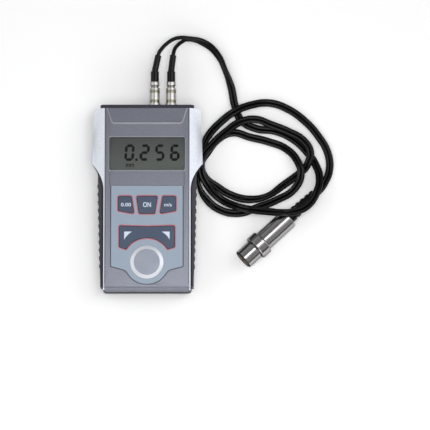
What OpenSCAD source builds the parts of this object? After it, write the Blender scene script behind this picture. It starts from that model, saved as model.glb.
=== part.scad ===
// Handheld ultrasonic thickness gauge with its twin lead and dual crystal probe, in millimetres.
// The gauge lies on its back at z = 0, its panel faces +Z and its sockets point to +Y.

/* [Case] */
// Length from the bottom end to the outer face of the top plate
case_l = 121.3; // [116:0.1:135]
// Width over the shoulders of the head
head_w = 72; // [68:0.5:78]
// Inward taper of the head on each side, from the shoulders to the top end
head_taper = 1.3; // [0:0.1:3]
// Distance from the outer face of the top plate down to the shoulders
head_l = 38; // [34:0.5:44]
// Length of the curve between waist and shoulders
shoulder_l = 18; // [12:0.5:22]
// Width of both shells at the waist
waist_w = 57.6; // [57:0.2:62]
// Width of the flat front panel between the sloping sides
panel_w = 54.8; // [52:0.2:56]
// Drop of the sloping sides from the panel to the outer edge of the head
wing_drop = 4; // [2:0.1:5]
// Height of the upright outer edge of the head
wing_edge = 3.6; // [2:0.1:4.5]
// Side walls of both shells
wall = 1.8; // [1.4:0.1:2.4]
// Floor of the back shell
back_wall = 2; // [1.8:0.1:3]
// Thickness of the front panel
panel_t = 1.6; // [1.4:0.1:2.4]
// Radius of the back edges
back_r = 5; // [3:0.5:7]
// Radius of the front edge at the bottom end
end_r = 3; // [1:0.5:4]
// Radius of the outer edges of the head
wing_r = 1; // [0.4:0.1:1.4]
// Width of the groove between the panel and the sloping sides
seam_w = 0.5; // [0.3:0.1:0.8]
// Depth of that groove
seam_d = 0.3; // [0.2:0.1:0.6]
// Thickness of the top plate
plate_t = 2.5; // [1.5:0.1:4]
// Width of the top plate
plate_w = 60.6; // [50:0.2:64]
// Height of the top plate
plate_h = 19; // [16:0.5:20]

/* [Grips] */
// Thickness of a grip over the waist at its upper end
grip_top_t = 3.3; // [2:0.1:5]
// Thickness of a grip over the waist at its lower end
grip_end_t = 1.2; // [0.8:0.1:3]
// Height of the grips
grip_h = 12; // [8:0.5:14]
// Distance of the grips from the back face
grip_up = 5.2; // [5:0.1:6]
// Spacing of the ribs
rib_pitch = 5.2; // [3:0.1:8]
// Length of a rib along the grip
rib_l = 1.6; // [1:0.1:2.5]
// Height of a rib over the grip
rib_h = 0.5; // [0.2:0.1:1]
// Distance from the lower end of the grip to the first rib
rib_start = 13; // [4:0.5:16]

/* [Display] */
// Width of the window
win_w = 49; // [44:0.5:49]
// Height of the window
win_l = 21.7; // [16:0.1:24]
// Distance from the outer face of the top plate to the window
win_drop = 21.4; // [20:0.1:26]
// Depth of the window under the panel face
win_sink = 0.7; // [0.3:0.1:1]
// Width of the step round the window
lip_w = 0.5; // [0.3:0.1:0.9]
// Depth of that step
lip_d = 0.3; // [0.1:0.1:0.5]
// Thickness of the display glass
glass_t = 1.1; // [0.8:0.1:1.2]

/* [Keypad] */
// Width of the keypad overlay
pad_w = 46.8; // [44:0.2:50]
// Height of the overlay above the centre of the disc
pad_up = 49.6; // [46:0.2:54]
// Thickness of the overlay
pad_t = 0.5; // [0.3:0.1:0.8]
// Width of the overlay's rim round the disc
pad_rim = 3.9; // [3:0.1:5]
// Drop of the overlay's lower corners under the centre of the disc
pad_foot = 3; // [1:0.1:4]
// Slope of the overlay's lower edge, in degrees
pad_slope = 15; // [8:1:20]
// Radius between that edge and the rim
pad_fillet = 5; // [3:0.5:6]
// Gap round the overlay in its recess
pad_gap = 0.25; // [0.1:0.05:0.4]
// Top of the first key row above the centre of the disc
row_up = 42.7; // [40:0.1:45]
// Height of the keys of the first row
row_l = 11.2; // [8:0.1:12]
// Top of the arched key above the centre of the disc
arch_up = 23.5; // [22:0.1:26]
// Gap between the disc and the arched key
arch_gap = 5.1; // [3.5:0.1:6]
// Radius of the corners of the keys
key_r = 1; // [0.4:0.1:1.5]
// Clearance round each key
key_gap = 0.25; // [0.15:0.05:0.4]
// Height of the keys over the panel
key_proud = 0.3; // [0:0.1:1]
// Travel of a key
key_travel = 0.4; // [0.2:0.05:0.5]

/* [Calibration disc] */
// Diameter of the disc
disc_d = 21.4; // [16:0.2:22]
// Diameter of its flat face inside the bevel
disc_flat_d = 16.8; // [10:0.2:18]
// Thickness of the disc
disc_t = 4; // [3.6:0.1:4.4]
// Height of the disc over the panel
disc_proud = 1; // [0.4:0.1:1.4]
// Drop of the bevel
disc_bevel = 0.8; // [0.2:0.1:1]
// Distance from the bottom end to the centre of the disc
disc_up = 18.5; // [17:0.1:22]

/* [Cells and board] */
// Diameter of a cell
cell_d = 14.2; // [10:0.1:14.5]
// Length of a cell with its button
cell_l = 50.5; // [44:0.1:52]
// Clearance between cells, and under and beside them
cell_clear = 0.3; // [0.2:0.05:0.5]
// Length of a fitted contact spring
spring_l = 3.6; // [2.5:0.1:5]
// Thickness of the board
board_t = 1.2; // [0.8:0.1:1.6]
// Clearance between the cells and the board
board_gap = 0.5; // [0.3:0.1:1]
// Space between board and panel, for the switches and the display
key_space = 2.2; // [2.2:0.1:3]
// Diameter of a switch dome
dome_d = 6; // [4:0.5:7]
// Height of a switch dome
dome_h = 0.5; // [0.3:0.1:0.6]

/* [Sockets and plugs] */
// Distance of the first socket from the middle of the gauge
socket_x = 4.7; // [4.5:0.1:6]
// Spacing of the two sockets
socket_pitch = 10.6; // [9:0.1:12]
// Diameter of a socket's collar
collar_d = 7.6; // [7.4:0.1:8.4]
// Height of a collar over the top plate
socket_out = 2.1; // [1:0.1:3]
// Diameter of a socket's barrel
barrel_d = 6.9; // [6:0.1:7]
// Length of a barrel behind the top plate
barrel_l = 11; // [8:0.5:13]
// Diameter of a plug's core
core_d = 4.8; // [4:0.1:5]
// Diameter of a release sleeve
sleeve_d = 6.4; // [6:0.1:7]
// Length of a release sleeve
sleeve_l = 10.1; // [8:0.1:12]
// Gap behind a release sleeve, in which it slides to free the plug
sleeve_gap = 1.7; // [1.5:0.1:2.5]
// Diameter of a collet nut
nut_d = 6; // [5.4:0.1:6.8]
// Length of a collet nut
nut_l = 2.5; // [1.5:0.1:4]
// Diameter of a boot at the plug
boot_d = 5.4; // [4.8:0.1:6]
// Diameter of a boot at its end
boot_end_d = 4.2; // [3.6:0.1:4.6]
// Length of the wide part of a boot
boot_l = 7; // [5:0.5:10]
// Length of the slim part of a boot
boot_end_l = 10.6; // [8:0.1:14]

/* [Probe] */
// Diameter of the nose and of the rear tube
probe_d = 13; // [11:0.1:14]
// Diameter of the collar
probe_collar_d = 16.3; // [15:0.1:18]
// Length of the nose
nose_l = 11; // [8:0.5:14]
// Length of the collar
probe_collar_l = 6.6; // [4:0.1:9]
// Length of the rear tube
rear_l = 23; // [18:0.5:28]
// Wall of the nose and of the rear tube
probe_wall = 1.3; // [1:0.1:1.8]
// Length of the boot
relief_l = 23.3; // [20:0.1:24]
// Diameter of the boot at the probe
relief_d = 8.8; // [8:0.1:9.6]
// Diameter of the boot at its end
relief_end_d = 6.8; // [6.4:0.1:7.4]
// Thickness of the barrier between the two delay lines
barrier_t = 0.8; // [0.4:0.1:1.2]
// Length of a delay line
delay_l = 9; // [7:0.5:10]
// Thickness of a crystal
crystal_t = 0.6; // [0.4:0.1:1]
// Length of the damping block
damping_l = 10; // [6:0.5:14]

/* [Cable] */
// Diameter of one strand
strand_d = 2.6; // [2.2:0.1:3]

/* [Hidden] */
$fn = 64;

// Clearances: fit between fixed pieces, slip between sliding ones, cut past a face
fit = 0.05;
slip = 0.1;
cut = 1;

// Colours
silver = [0.86, 0.88, 0.91];
slate = [0.27, 0.28, 0.31];
pad_blue = [0.6, 0.66, 0.73];
key_blue = [0.32, 0.38, 0.46];
steel = [0.72, 0.73, 0.76];
black = [0.06, 0.06, 0.07];
board_green = [0.1, 0.35, 0.2];
lcd_grey = [0.33, 0.36, 0.34];
brass = [0.78, 0.66, 0.36];

// Levels from the back to the panel
cell_z = back_wall + cell_clear + cell_d / 2;
board_z = back_wall + cell_clear + cell_d + board_gap;
board_top = board_z + board_t;
panel_in = board_top + key_space;
case_h = panel_in + panel_t;
parting_h = case_h / 2;
wing_top = case_h - wing_drop;
wing_low = wing_top - wing_edge;
head_r = 2;

// Stations along the case
y_bot = -(case_l + socket_out) / 2;
y_plate = y_bot + case_l;
y_top = y_plate - plate_t;
y_in_bot = y_bot + wall;
y_in_top = y_top - wall;
y_shoulder = y_plate - head_l;
win_y = y_plate - win_drop - win_l / 2;
disc_y = y_bot + disc_up;

// Screw posts and the board
post_r = 3;
post_x = waist_w / 2 - wall - post_r - 0.4;
post_ys = [y_in_bot + post_r + 0.4, y_in_top - post_r - 0.7];
screw_r = 1.25;
screw_head_r = 2.3;
screw_head_h = 2;
screw_sink = 0.5;
screw_l = 14;
seat_z = screw_sink + screw_head_h;
pocket_r = disc_d / 2 + 1.5;
pocket_floor = 1.2;
disc_z = case_h + disc_proud - disc_t;
board_w = waist_w - 2 * wall - 1;
board_y0 = disc_y + pocket_r + 0.7;
board_y1 = post_ys[1] - post_r - 2.6;
board_post_r = 2.2;
board_post_x = board_w / 2 - board_post_r - 0.4;
board_post_ys = [board_y0 + 3, board_y1 - 2.6];
board_screw_r = 0.9;
board_screw_head_r = 1.7;
board_screw_head_h = 1.3;

// Display stack between board and panel
frame_wall = 1.2;
glass_w = win_w + 0.8;
glass_l = win_l + 1.6;
ledge = 0.6;
flange_t = 0.6;
window_z = panel_in - fit - flange_t;
glass_z = window_z - fit - glass_t;

// Keys
flange_grow = 0.9;
key_flange_t = 0.5;
plunger_r = 1.5;
dome_top = board_top + dome_h;
arch_tilt_room = 0.45;
arch_switch_x = 12;
arch_switch_up = 18;
pivot_r = 0.6;
pivot_z = board_top + fit + pivot_r;
arch_r = disc_d / 2 + arch_gap;
key_slant = 1.7;
middle_w = 13.4;
row_gap = 3.4;
side_in = middle_w / 2 + row_gap;
side_out = 18.5;
side_rise = 1.8;
side_key = [[side_in - key_slant, -row_l], [side_out, side_rise - row_l], [side_out, 0], [side_in, 0]];
middle_key = [[key_slant - middle_w / 2, -row_l], [middle_w / 2 - key_slant, -row_l],
    [middle_w / 2, 0], [-middle_w / 2, 0]];
row_y = disc_y + row_up;
arch_w = 35.6;
arch_foot_up = 9.8;
arch_dip = 0.6;
arch_end_angle = 32;

// Raised line round the bare plate at the upper end of the panel: half widths and level
plate_line_w = 0.5;
plate_line_h = 0.2;
plate_line_x = [26.2, 23.2];
plate_line_drop = 13;
plate_line_corner = 1.4;

// Thin grooves that run from the window to the overlay
rail_x = win_w / 2 - 0.6;
rail_w = 0.4;

// Chips on the hidden side of the board: place from the middle and from the upper end, size, height
processor = [0, 26, 12, 12, 1.6];
receivers = [[-15, 30, 7, 5, 1.5], [-15, 20, 7, 5, 1.5]];
pulser = [14, 24, 6, 10, 1.8];

// Battery bay and its door
tab_t = 0.4;
bay_w = 2 * cell_d + 3 * cell_clear;
bay_wall = 1.2;
bay_y0 = y_in_bot;
bay_l = 2 * tab_t + spring_l + cell_l + cell_clear;
bay_y1 = bay_y0 + bay_l;
cell_x = (cell_d + cell_clear) / 2;
button_r = 2.75;
button_l = 1;
door_gap = 0.2;
tongue_w = 1.1;
tongue_z = 0.9;
tongue_h = 0.7;
thumb_n = 5;
thumb_pitch = 2;
thumb_w = 14;
thumb_up = 9;
thumb_d = 0.35;

// Plugs, from the collar outwards
socket_xs = [socket_x, socket_x + socket_pitch];
boot_leans = [12, 7];
boot_edge = 0.4;
axis_z = parting_h;
y_socket = y_plate + socket_out;
y_sleeve = y_socket + fit;
y_nut = y_sleeve + sleeve_l + sleeve_gap;
y_boot = y_nut + nut_l + fit;
y_knee = y_boot + boot_l;
socket_floor = 1.5;
y_barrel = y_plate - barrel_l;
thread_r = core_d / 2 - 0.4;

// Probe, which lies on its collar and on the end of its rear tube
probe_turn = 43;
probe_rear = [91.4, -12.6];
lie_gap = 0.03;
probe_tilt = asin((probe_collar_d - probe_d) / 2 / rear_l);
probe_rear_z = probe_d / 2 * cos(probe_tilt) + lie_gap;
relief_rib_n = 5;
relief_rib_l = 2.2;
relief_groove = 0.5;
lead_in = 5;

// Route of the twin cable: x, y, height of its middle, and roll of its flat section in degrees
route = [
    [25.5, 106.3, 3.6, 0], [37, 103.5, 2.1, 15], [45.5, 95.5, 2.4, 45], [50.5, 85, 2.8, 90],
    [54.5, 73.5, 2.2, 35], [56.8, 62, 1.4, 0], [61, 52.3, 1.4, 0], [70.5, 47, 1.4, 0],
    [83, 45.3, 1.4, 0], [94.5, 40, 1.4, 0], [104, 31, 1.4, 0], [109.5, 22.5, 1.7, 0],
    [111.6, 14, 5, 0], [110, 5, 9, 0], [103.5, -5.3, 11.8, 0], [94, -9.6, 14.1, -15],
    [87, -10, 14.2, -25], [77.5, -8.6, 9.4, 0], [68.5, -7, 5, 0], [58, -4.6, 3.9, 0],
    [46.5, 1.2, 2.4, 0], [38.8, 9.4, 5.4, 0], [34.8, 18.5, 6.8, 0], [35.4, 27, 6.8, 0],
    [42, 36, 4.7, 0], [51.5, 45, 4.2, 0], [60.5, 51, 4.2, 0], [70.5, 52.6, 4.2, 0],
    [80, 49.2, 4.2, 0], [91.5, 44.6, 4.2, 0], [101, 39, 4.2, 0], [105.6, 31.5, 4.2, 0],
    [104.4, 24.2, 4, 0], [101.2, 19.6, 1.7, 0], [97.5, 16.6, 1.4, 0], [87.5, 9.2, 1.7, 10],
    [78, 2.6, 2.6, 55], [66.5, 0.4, 1.8, 15], [54.5, 3.2, 1.4, 0], [45, 9, 2.2, 40],
    [38.3, 15.4, 2.8, 90], [36, 23, 2.8, 90], [39.2, 31, 2.1, 35], [46, 40, 1.4, 0],
    [55, 44.2, 1.4, 0], [67, 41.2, 1.4, 0], [79, 38.2, 1.4, 0], [90, 33.6, 1.7, 0],
    [97.2, 25.2, 4.4, 0], [99.6, 16.6, 4.6, 0], [95, 6.8, 2.3, 0], [84.2, 0.2, 1.4, 0],
    [71.5, -4.8, 1.4, 0], [59.5, -8.6, 1.4, 0], [47.5, -6.6, 1.4, 0], [38, 0.8, 2, 25],
    [33.6, 9, 2.7, 80], [33, 20, 2.8, 90], [35, 32, 2.7, 60], [39.5, 42.3, 1.6, 10],
    [47.5, 51.2, 1.7, 0], [57, 58, 4.2, 0], [67.5, 62.4, 2.6, 0], [79, 63.9, 1.4, 0],
    [90, 60.5, 1.4, 0], [101.5, 52.6, 1.4, 0], [111, 42, 1.4, 0], [117.4, 30, 1.4, 0],
    [118, 19, 1.6, 0], [115.2, 11.6, 3.2, 0]
];
// Routes of the two single leads between their boots and the start of the twin cable
left_route = [[9.2, 98.4, 10.2], [12.4, 102.4, 8.8], [16.6, 105.6, 7], [21, 107.4, 5], [25.5, 107.6, 3.6]];
right_route = [[17.6, 98.4, 9.6], [19.6, 101.8, 7.4], [22.2, 104.2, 5.2], [25.5, 105, 3.6]];

// Outline and placing helpers
function arc(x, y, r, a0, a1, n = 6) =
    [for (i = [0 : n]) let (a = a0 + (a1 - a0) * i / n) [x + r * cos(a), y + r * sin(a)]];
function flip(points) = [for (i = [len(points) - 1 : -1 : 0]) [-points[i][0], points[i][1]]];
function unit(v) = v / norm(v);
function side_of(a, b) = unit([b[1] - a[1], a[0] - b[0]]);

// A closed outline, counted counter-clockwise, with every edge moved outwards by d
function grow(points, d) = let (n = len(points)) [
    for (i = [0 : n - 1])
        let (a = side_of(points[(i + n - 1) % n], points[i]))
        let (b = side_of(points[i], points[(i + 1) % n]))
        points[i] + d * (a + b) / (1 + a * b)
];

// A closed outline with its corners rounded by the radii of a list; a radius of 0 keeps the corner
function rounded(points, radii) = let (n = len(points)) [
    for (i = [0 : n - 1])
        let (p = points[i], r = radii[i])
        let (a = unit(points[(i + n - 1) % n] - p), b = unit(points[(i + 1) % n] - p))
        let (half = acos(a * b) / 2)
        each r == 0 ? [p] :
            let (centre = p + unit(a + b) * r / sin(half))
            let (from = p + a * r / tan(half) - centre, to = p + b * r / tan(half) - centre)
            let (start = atan2(from[1], from[0]), turn = atan2(to[1], to[0]) - start)
            arc(centre[0], centre[1], r, start, start + turn - 360 * round(turn / 360), 4)
];

function even(points, r) = rounded(points, [for (p = points) r]);

function round_rect(w, h, r) = concat(
    arc(w / 2 - r, h / 2 - r, r, 0, 90), arc(r - w / 2, h / 2 - r, r, 90, 180),
    arc(r - w / 2, r - h / 2, r, 180, 270), arc(w / 2 - r, r - h / 2, r, 270, 360));

module along_y(y0, y1) {
    translate([0, y1, 0]) rotate([90, 0, 0]) linear_extrude(y1 - y0) children();
}

module along_x(x0, x1) {
    translate([x0, 0, 0]) rotate([90, 0, 90]) linear_extrude(x1 - x0) children();
}

module along_z(z0, z1) {
    translate([0, 0, z0]) linear_extrude(z1 - z0) children();
}

// A profile of radius and distance, turned about the Y axis
module turned_y(profile) {
    rotate([-90, 0, 0]) rotate_extrude() polygon(profile);
}

module rod_z(x, y, r, z0, z1) {
    translate([x, y, z0]) cylinder(r = r, h = z1 - z0);
}

module each_post(xs, ys) {
    for (x = [-xs, xs])
        for (y = ys)
            translate([x, y, 0]) children();
}

// Sweeps: a section is moved along points, upright and turned by its own roll at each of them
function heading(p, i) = unit(p[min(i + 1, len(p) - 1)] - p[max(i - 1, 0)]);

function ring(at, dir, section, roll) =
    let (side = unit(cross(dir, [0, 0, 1])))
    let (up = cross(side, dir))
    [for (s = section)
        at + side * (s[0] * cos(roll) - s[1] * sin(roll)) + up * (s[0] * sin(roll) + s[1] * cos(roll))];

module sweep(points, section, rolls) {
    n = len(section);
    last = len(points) - 1;
    rings = [for (i = [0 : last]) each ring(points[i], heading(points, i), section, rolls[i])];
    sides = [for (i = [0 : last - 1]) for (j = [0 : n - 1])
        let (a = i * n + j, b = i * n + (j + 1) % n) each [[a, b, b + n], [a, b + n, a + n]]];
    ends = [[for (j = [n - 1 : -1 : 0]) j], [for (j = [0 : n - 1]) last * n + j]];
    polyhedron(rings, concat(sides, ends), convexity = 10);
}

module round_tube(points, r, n = 8) {
    section = [for (j = [0 : n - 1]) r * [cos(360 * j / n + 180 / n), sin(360 * j / n + 180 / n)]];
    sweep(points, section, [for (p = points) 0]);
}

// Outline of the front shell seen from above: waist, curved shoulders and tapered head
function front_side() = concat(
    arc(waist_w / 2 - end_r, y_bot + end_r, end_r, -90, 0),
    [for (i = [0 : 8]) let (t = i / 8)
        [waist_w / 2 + (head_w - waist_w) / 2 * t * t, y_shoulder - shoulder_l * (1 - t)]],
    arc(head_w / 2 - head_taper - head_r, y_top - head_r, head_r, 0, 90));

function front_section() =
    let (half = [[waist_w / 2, parting_h], [head_w / 2, wing_low], [head_w / 2, wing_top],
        [panel_w / 2, case_h]])
    rounded(concat(half, flip(half)), [0, wing_r, wing_r, wing_r, wing_r, wing_r, wing_r, 0]);

// Solid form of the front shell: plan, cross-section and side view meet in it
module front_form() {
    intersection() {
        along_z(parting_h, case_h) polygon(concat(front_side(), flip(front_side())));
        along_y(y_bot - cut, y_top + cut) polygon(front_section());
        along_x(-head_w, head_w) polygon(concat(
            [[y_top, parting_h], [y_top, case_h]],
            arc(y_bot + end_r, case_h - end_r, end_r, 90, 180), [[y_bot, parting_h]]));
    }
}

// Solid form of the back shell, with rounded back edges all round
module back_form() {
    half = concat(arc(waist_w / 2 - back_r, back_r, back_r, -90, 0), [[waist_w / 2, parting_h]]);
    intersection() {
        along_y(y_bot, y_top) polygon(concat(half, flip(half)));
        along_x(-waist_w, waist_w) polygon(concat(
            [[y_top, 0], [y_top, parting_h], [y_bot, parting_h]],
            arc(y_bot + back_r, back_r, back_r, 180, 270)));
        along_z(0, parting_h) polygon(concat(
            arc(waist_w / 2 - end_r, y_bot + end_r, end_r, -90, 0),
            [[waist_w / 2, y_top]],
            flip(concat(arc(waist_w / 2 - end_r, y_bot + end_r, end_r, -90, 0),
                [[waist_w / 2, y_top]]))));
    }
}

module socket_holes(extra) {
    for (x = socket_xs)
        translate([x, 0, axis_z])
            turned_y([[0, y_in_top - cut], [barrel_d / 2 + extra, y_in_top - cut],
                [barrel_d / 2 + extra, y_plate + cut], [0, y_plate + cut]]);
}

// Keypad outlines
// Outline of the overlay: rim round the disc, then fillet, sloping foot and upright edge on each side
function pad_outline() =
    let (rim_r = disc_d / 2 + pad_rim, corner = [pad_w / 2, -pad_foot])
    let (dir = [-cos(pad_slope), -sin(pad_slope)])
    let (base = corner + pad_fillet * [sin(pad_slope), -cos(pad_slope)])
    let (reach = base * dir)
    let (centre = base - (reach + sqrt(reach * reach - base * base + pow(rim_r + pad_fillet, 2))) * dir)
    let (touch = atan2(centre[1], centre[0]))
    let (fillet = arc(centre[0], centre[1], pad_fillet, touch + 180, 90 + pad_slope))
    let (right = concat([for (i = [1 : len(fillet) - 1]) fillet[i]], [corner, [pad_w / 2, pad_up]]))
    let (outline = concat(arc(0, 0, rim_r, -180 - touch, touch, 16), right, flip(right)))
    let (radii = [for (p = outline) abs(p[0]) == pad_w / 2 ? key_r : 0])
    [for (p = rounded(outline, radii)) p + [0, disc_y]];

function arch_outline() =
    let (inside = arc(0, 0, arch_r, 180 - arch_end_angle, arch_end_angle, 12))
    let (outside = [[arch_w / 2, arch_foot_up], [arch_w / 2, arch_up], [0, arch_up - arch_dip],
        [-arch_w / 2, arch_up], [-arch_w / 2, arch_foot_up]])
    let (toe_r = 0.4 * key_r)
    let (radii = concat([toe_r], [for (i = [1 : len(inside) - 2]) 0], [toe_r, key_r, key_r, 0, key_r, key_r]))
    [for (p = rounded(concat(inside, outside), radii)) p + [0, disc_y]];

function row_outline(points) = [for (p = even(points, key_r)) p + [0, row_y]];

key_outlines = [row_outline(flip(side_key)), row_outline(middle_key), row_outline(side_key)];
key_switches = [[-13.4, row_y - row_l / 2], [0, row_y - row_l / 2], [13.4, row_y - row_l / 2]];

module key_holes() {
    for (outline = key_outlines)
        polygon(grow(outline, key_gap));
    polygon(grow(arch_outline(), key_gap));
}

module pad_shape(extra) {
    polygon(grow(pad_outline(), extra));
}

// Raised line on the panel round the bare plate at its upper end
module plate_line() {
    low = y_plate - plate_line_drop;
    right = [[plate_line_x[1] - plate_line_corner, low], [plate_line_x[1], low + plate_line_corner],
        [plate_line_x[0], y_top]];
    outline = concat(right, flip(right));
    difference() {
        polygon(outline);
        translate([0, plate_line_w]) polygon(grow(outline, -plate_line_w));
    }
}

// Grooves in the panel: beside the sloping sides, and from the window to the overlay
module panel_grooves() {
    for (side = [-1, 1]) {
        translate([side * (panel_w / 2 - seam_w) - seam_w / 2, y_bot - cut])
            square([seam_w, case_l + 2 * cut]);
        translate([side * rail_x - rail_w / 2, disc_y + pad_up])
            square([rail_w, win_y - win_l / 2 - disc_y - pad_up]);
    }
}

module window_shape(extra) {
    translate([0, win_y]) polygon(round_rect(win_w + 2 * extra, win_l + 2 * extra, 1.2));
}

// Silver front shell: hollow, with openings for display and keys, disc pocket and screw posts
module front_shell() {
    inner = [[waist_w / 2 - wall, parting_h - cut], [waist_w / 2 - wall, panel_in - ledge],
        [waist_w / 2 - wall - ledge, panel_in]];
    color(silver) difference() {
        union() {
            difference() {
                front_form();
                along_y(y_in_bot, y_in_top) polygon(concat(inner, flip(inner)));
            }
            each_post(post_x, post_ys) rod_z(0, 0, post_r, parting_h, panel_in);
            each_post(board_post_x, board_post_ys) rod_z(0, 0, board_post_r, board_top, panel_in);
            rod_z(0, disc_y, pocket_r, disc_z - pocket_floor, panel_in);
            along_z(case_h - fit, case_h + plate_line_h) plate_line();
        }
        along_z(panel_in - cut, case_h + cut) window_shape(0);
        along_z(case_h - lip_d, case_h + cut) window_shape(lip_w);
        along_z(case_h - seam_d, case_h + cut) panel_grooves();
        along_z(case_h - pad_t, case_h + cut) pad_shape(pad_gap);
        along_z(panel_in - cut, case_h + cut) key_holes();
        rod_z(0, disc_y, disc_d / 2 + fit, disc_z, case_h + cut);
        each_post(post_x, post_ys) rod_z(0, 0, screw_r + fit, parting_h - cut, screw_l + seat_z);
        each_post(board_post_x, board_post_ys) rod_z(0, 0, board_screw_r + fit, board_z, panel_in);
        socket_holes(slip);
    }
}

// Dark back shell: tray with screw posts, battery bay and the tracks of the sliding door
module back_shell() {
    inner = concat(arc(waist_w / 2 - back_r, back_r, back_r - wall, -90, 0),
        [[waist_w / 2 - wall, parting_h + cut]]);
    bay_out = bay_w / 2 + bay_wall;
    color(slate) difference() {
        union() {
            difference() {
                back_form();
                intersection() {
                    along_y(y_in_bot, y_in_top) polygon(concat(inner, flip(inner)));
                    along_z(back_wall, parting_h + cut) square([2 * waist_w, 2 * case_l], center = true);
                }
            }
            intersection() {
                back_form();
                each_post(post_x, post_ys) rod_z(0, 0, post_r, 0, parting_h);
            }
            for (side = [-1, 1])
                translate([side * (bay_out - bay_wall / 2) - bay_wall / 2, bay_y0, back_wall])
                    cube([bay_wall, bay_l + bay_wall, parting_h - back_wall]);
            translate([-bay_out, bay_y1, back_wall]) cube([2 * bay_out, bay_wall, parting_h - back_wall]);
        }
        translate([-bay_w / 2, y_bot - cut, -cut])
            cube([bay_w, bay_y1 - y_bot + cut, back_wall + cut + fit]);
        translate([-bay_w / 2 - tongue_w, y_bot - cut, tongue_z])
            cube([bay_w + 2 * tongue_w, bay_y1 - y_bot + cut, tongue_h + 2 * slip]);
        each_post(post_x, post_ys) {
            rod_z(0, 0, screw_head_r + slip, -cut, seat_z);
            rod_z(0, 0, screw_r + slip, 0, parting_h + cut);
        }
        socket_holes(slip);
    }
}

// Dark plate across the top end, with the two sockets through it
module top_plate() {
    color(slate) difference() {
        along_y(y_top, y_plate)
            translate([0, case_h / 2]) polygon(round_rect(plate_w, plate_h, 3));
        socket_holes(fit);
    }
}

// Ribbed rubber grip along the waist, right side
module grip() {
    y0 = y_bot + end_r;
    y1 = y_shoulder;
    out = function (y) waist_w / 2 + grip_end_t + (grip_top_t - grip_end_t) * (y - y0) / (y1 - y0);
    first = y0 + rib_start;
    rib_n = floor((y1 - shoulder_l * 0.8 - first) / rib_pitch);
    edge = 1;
    difference() {
        intersection() {
            along_z(grip_up, grip_up + grip_h) polygon(concat(
                [[waist_w / 2 + fit, y1], [waist_w / 2 + fit, y0], [out(y0), y0]],
                [for (i = [0 : rib_n]) let (y = first + i * rib_pitch) each [
                    [out(y), y], [out(y) + rib_h, y + rib_h / 2],
                    [out(y) + rib_h, y + rib_l - rib_h / 2], [out(y), y + rib_l]]],
                [[out(y1), y1]]));
            along_y(y0 - cut, y1 + cut) polygon([
                [0, grip_up], [out(y1) + rib_h - edge, grip_up], [out(y1) + rib_h, grip_up + edge],
                [out(y1) + rib_h, grip_up + grip_h - edge], [out(y1) + rib_h - edge, grip_up + grip_h],
                [0, grip_up + grip_h]]);
        }
        front_form();
    }
}

module grip_right() {
    color(slate) grip();
}

module grip_left() {
    color(slate) mirror([1, 0, 0]) grip();
}

// Clear window, held by a flange under the panel
module display_window() {
    color([0.7, 0.75, 0.72, 0.4]) {
        along_z(window_z, window_z + flange_t)
            translate([0, win_y]) square([glass_w, glass_l], center = true);
        along_z(window_z + flange_t, case_h - win_sink) window_shape(-slip);
    }
}

module display_glass() {
    color(lcd_grey) along_z(glass_z, glass_z + glass_t)
        translate([0, win_y]) square([glass_w, glass_l], center = true);
}

module display_backlight() {
    color([0.8, 0.9, 0.8]) along_z(board_top, glass_z)
        translate([0, win_y]) square([win_w, win_l], center = true);
}

module display_frame() {
    color(black) along_z(board_top, panel_in - fit) translate([0, win_y]) difference() {
        square([glass_w + 2 * frame_wall, glass_l + 2 * frame_wall], center = true);
        square([glass_w + 2 * slip, glass_l + 2 * slip], center = true);
    }
}

// Printed keypad overlay in its shallow recess, with the keys and the disc through it
module keypad_overlay() {
    color(pad_blue) along_z(case_h - pad_t, case_h) difference() {
        pad_shape(0);
        key_holes();
        translate([0, disc_y]) circle(r = disc_d / 2 + slip);
    }
}

// Sprung metal domes on the board, one under each key and one under each end of the arched key
module switch_domes() {
    spots = concat(key_switches,
        [for (side = [-1, 1]) [side * arch_switch_x, disc_y + arch_switch_up]]);
    color(steel)
        for (spot = spots)
            translate([spot[0], spot[1], board_top]) rotate_extrude() polygon([
                [0, 0], [dome_d / 2, 0], [dome_d / 2, dome_h / 4], [dome_d / 4, dome_h * 0.8],
                [dome_d / 8, dome_h], [0, dome_h]]);
}

module main_board() {
    color(board_green) difference() {
        along_z(board_z, board_top) translate([-board_w / 2, board_y0])
            square([board_w, board_y1 - board_y0]);
        each_post(board_post_x, board_post_ys)
            rod_z(0, 0, board_screw_r + slip, board_z - cut, board_top + cut);
    }
}

// Processor, pulser, receiver and timing chips on the hidden side of the board
module board_chips() {
    color(black)
        for (c = concat([processor, pulser], receivers))
            translate([c[0] - c[2] / 2, board_y1 - c[1] - c[3] / 2, board_z - c[4]])
                cube([c[2], c[3], c[4]]);
}

// Four small screws that hold the board to the posts of the front shell
module board_screws() {
    color(steel) each_post(board_post_x, board_post_ys) {
        rod_z(0, 0, board_screw_head_r, board_z - board_screw_head_h, board_z);
        rod_z(0, 0, board_screw_r, board_z - board_screw_head_h, panel_in - 0.3);
    }
}

// Steel test disc of known thickness, bevelled, set in the panel
module calibration_disc() {
    top = disc_z + disc_t;
    color(steel) translate([0, disc_y, 0]) rotate_extrude() polygon([
        [0, disc_z], [disc_d / 2, disc_z], [disc_d / 2, top - disc_bevel],
        [disc_flat_d / 2, top], [0, top]]);
}

// Coaxial chassis socket: collar outside, barrel through plate and shells, blind bore
module chassis_socket(x) {
    bore_r = core_d / 2 + fit;
    color(steel) translate([x, 0, axis_z]) turned_y([
        [0, y_barrel], [barrel_d / 2, y_barrel], [barrel_d / 2, y_plate], [collar_d / 2, y_plate],
        [collar_d / 2, y_socket], [bore_r, y_socket], [bore_r, y_barrel + socket_floor],
        [0, y_barrel + socket_floor]]);
}

module socket_left() {
    chassis_socket(socket_xs[0]);
}

module socket_right() {
    chassis_socket(socket_xs[1]);
}

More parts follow.
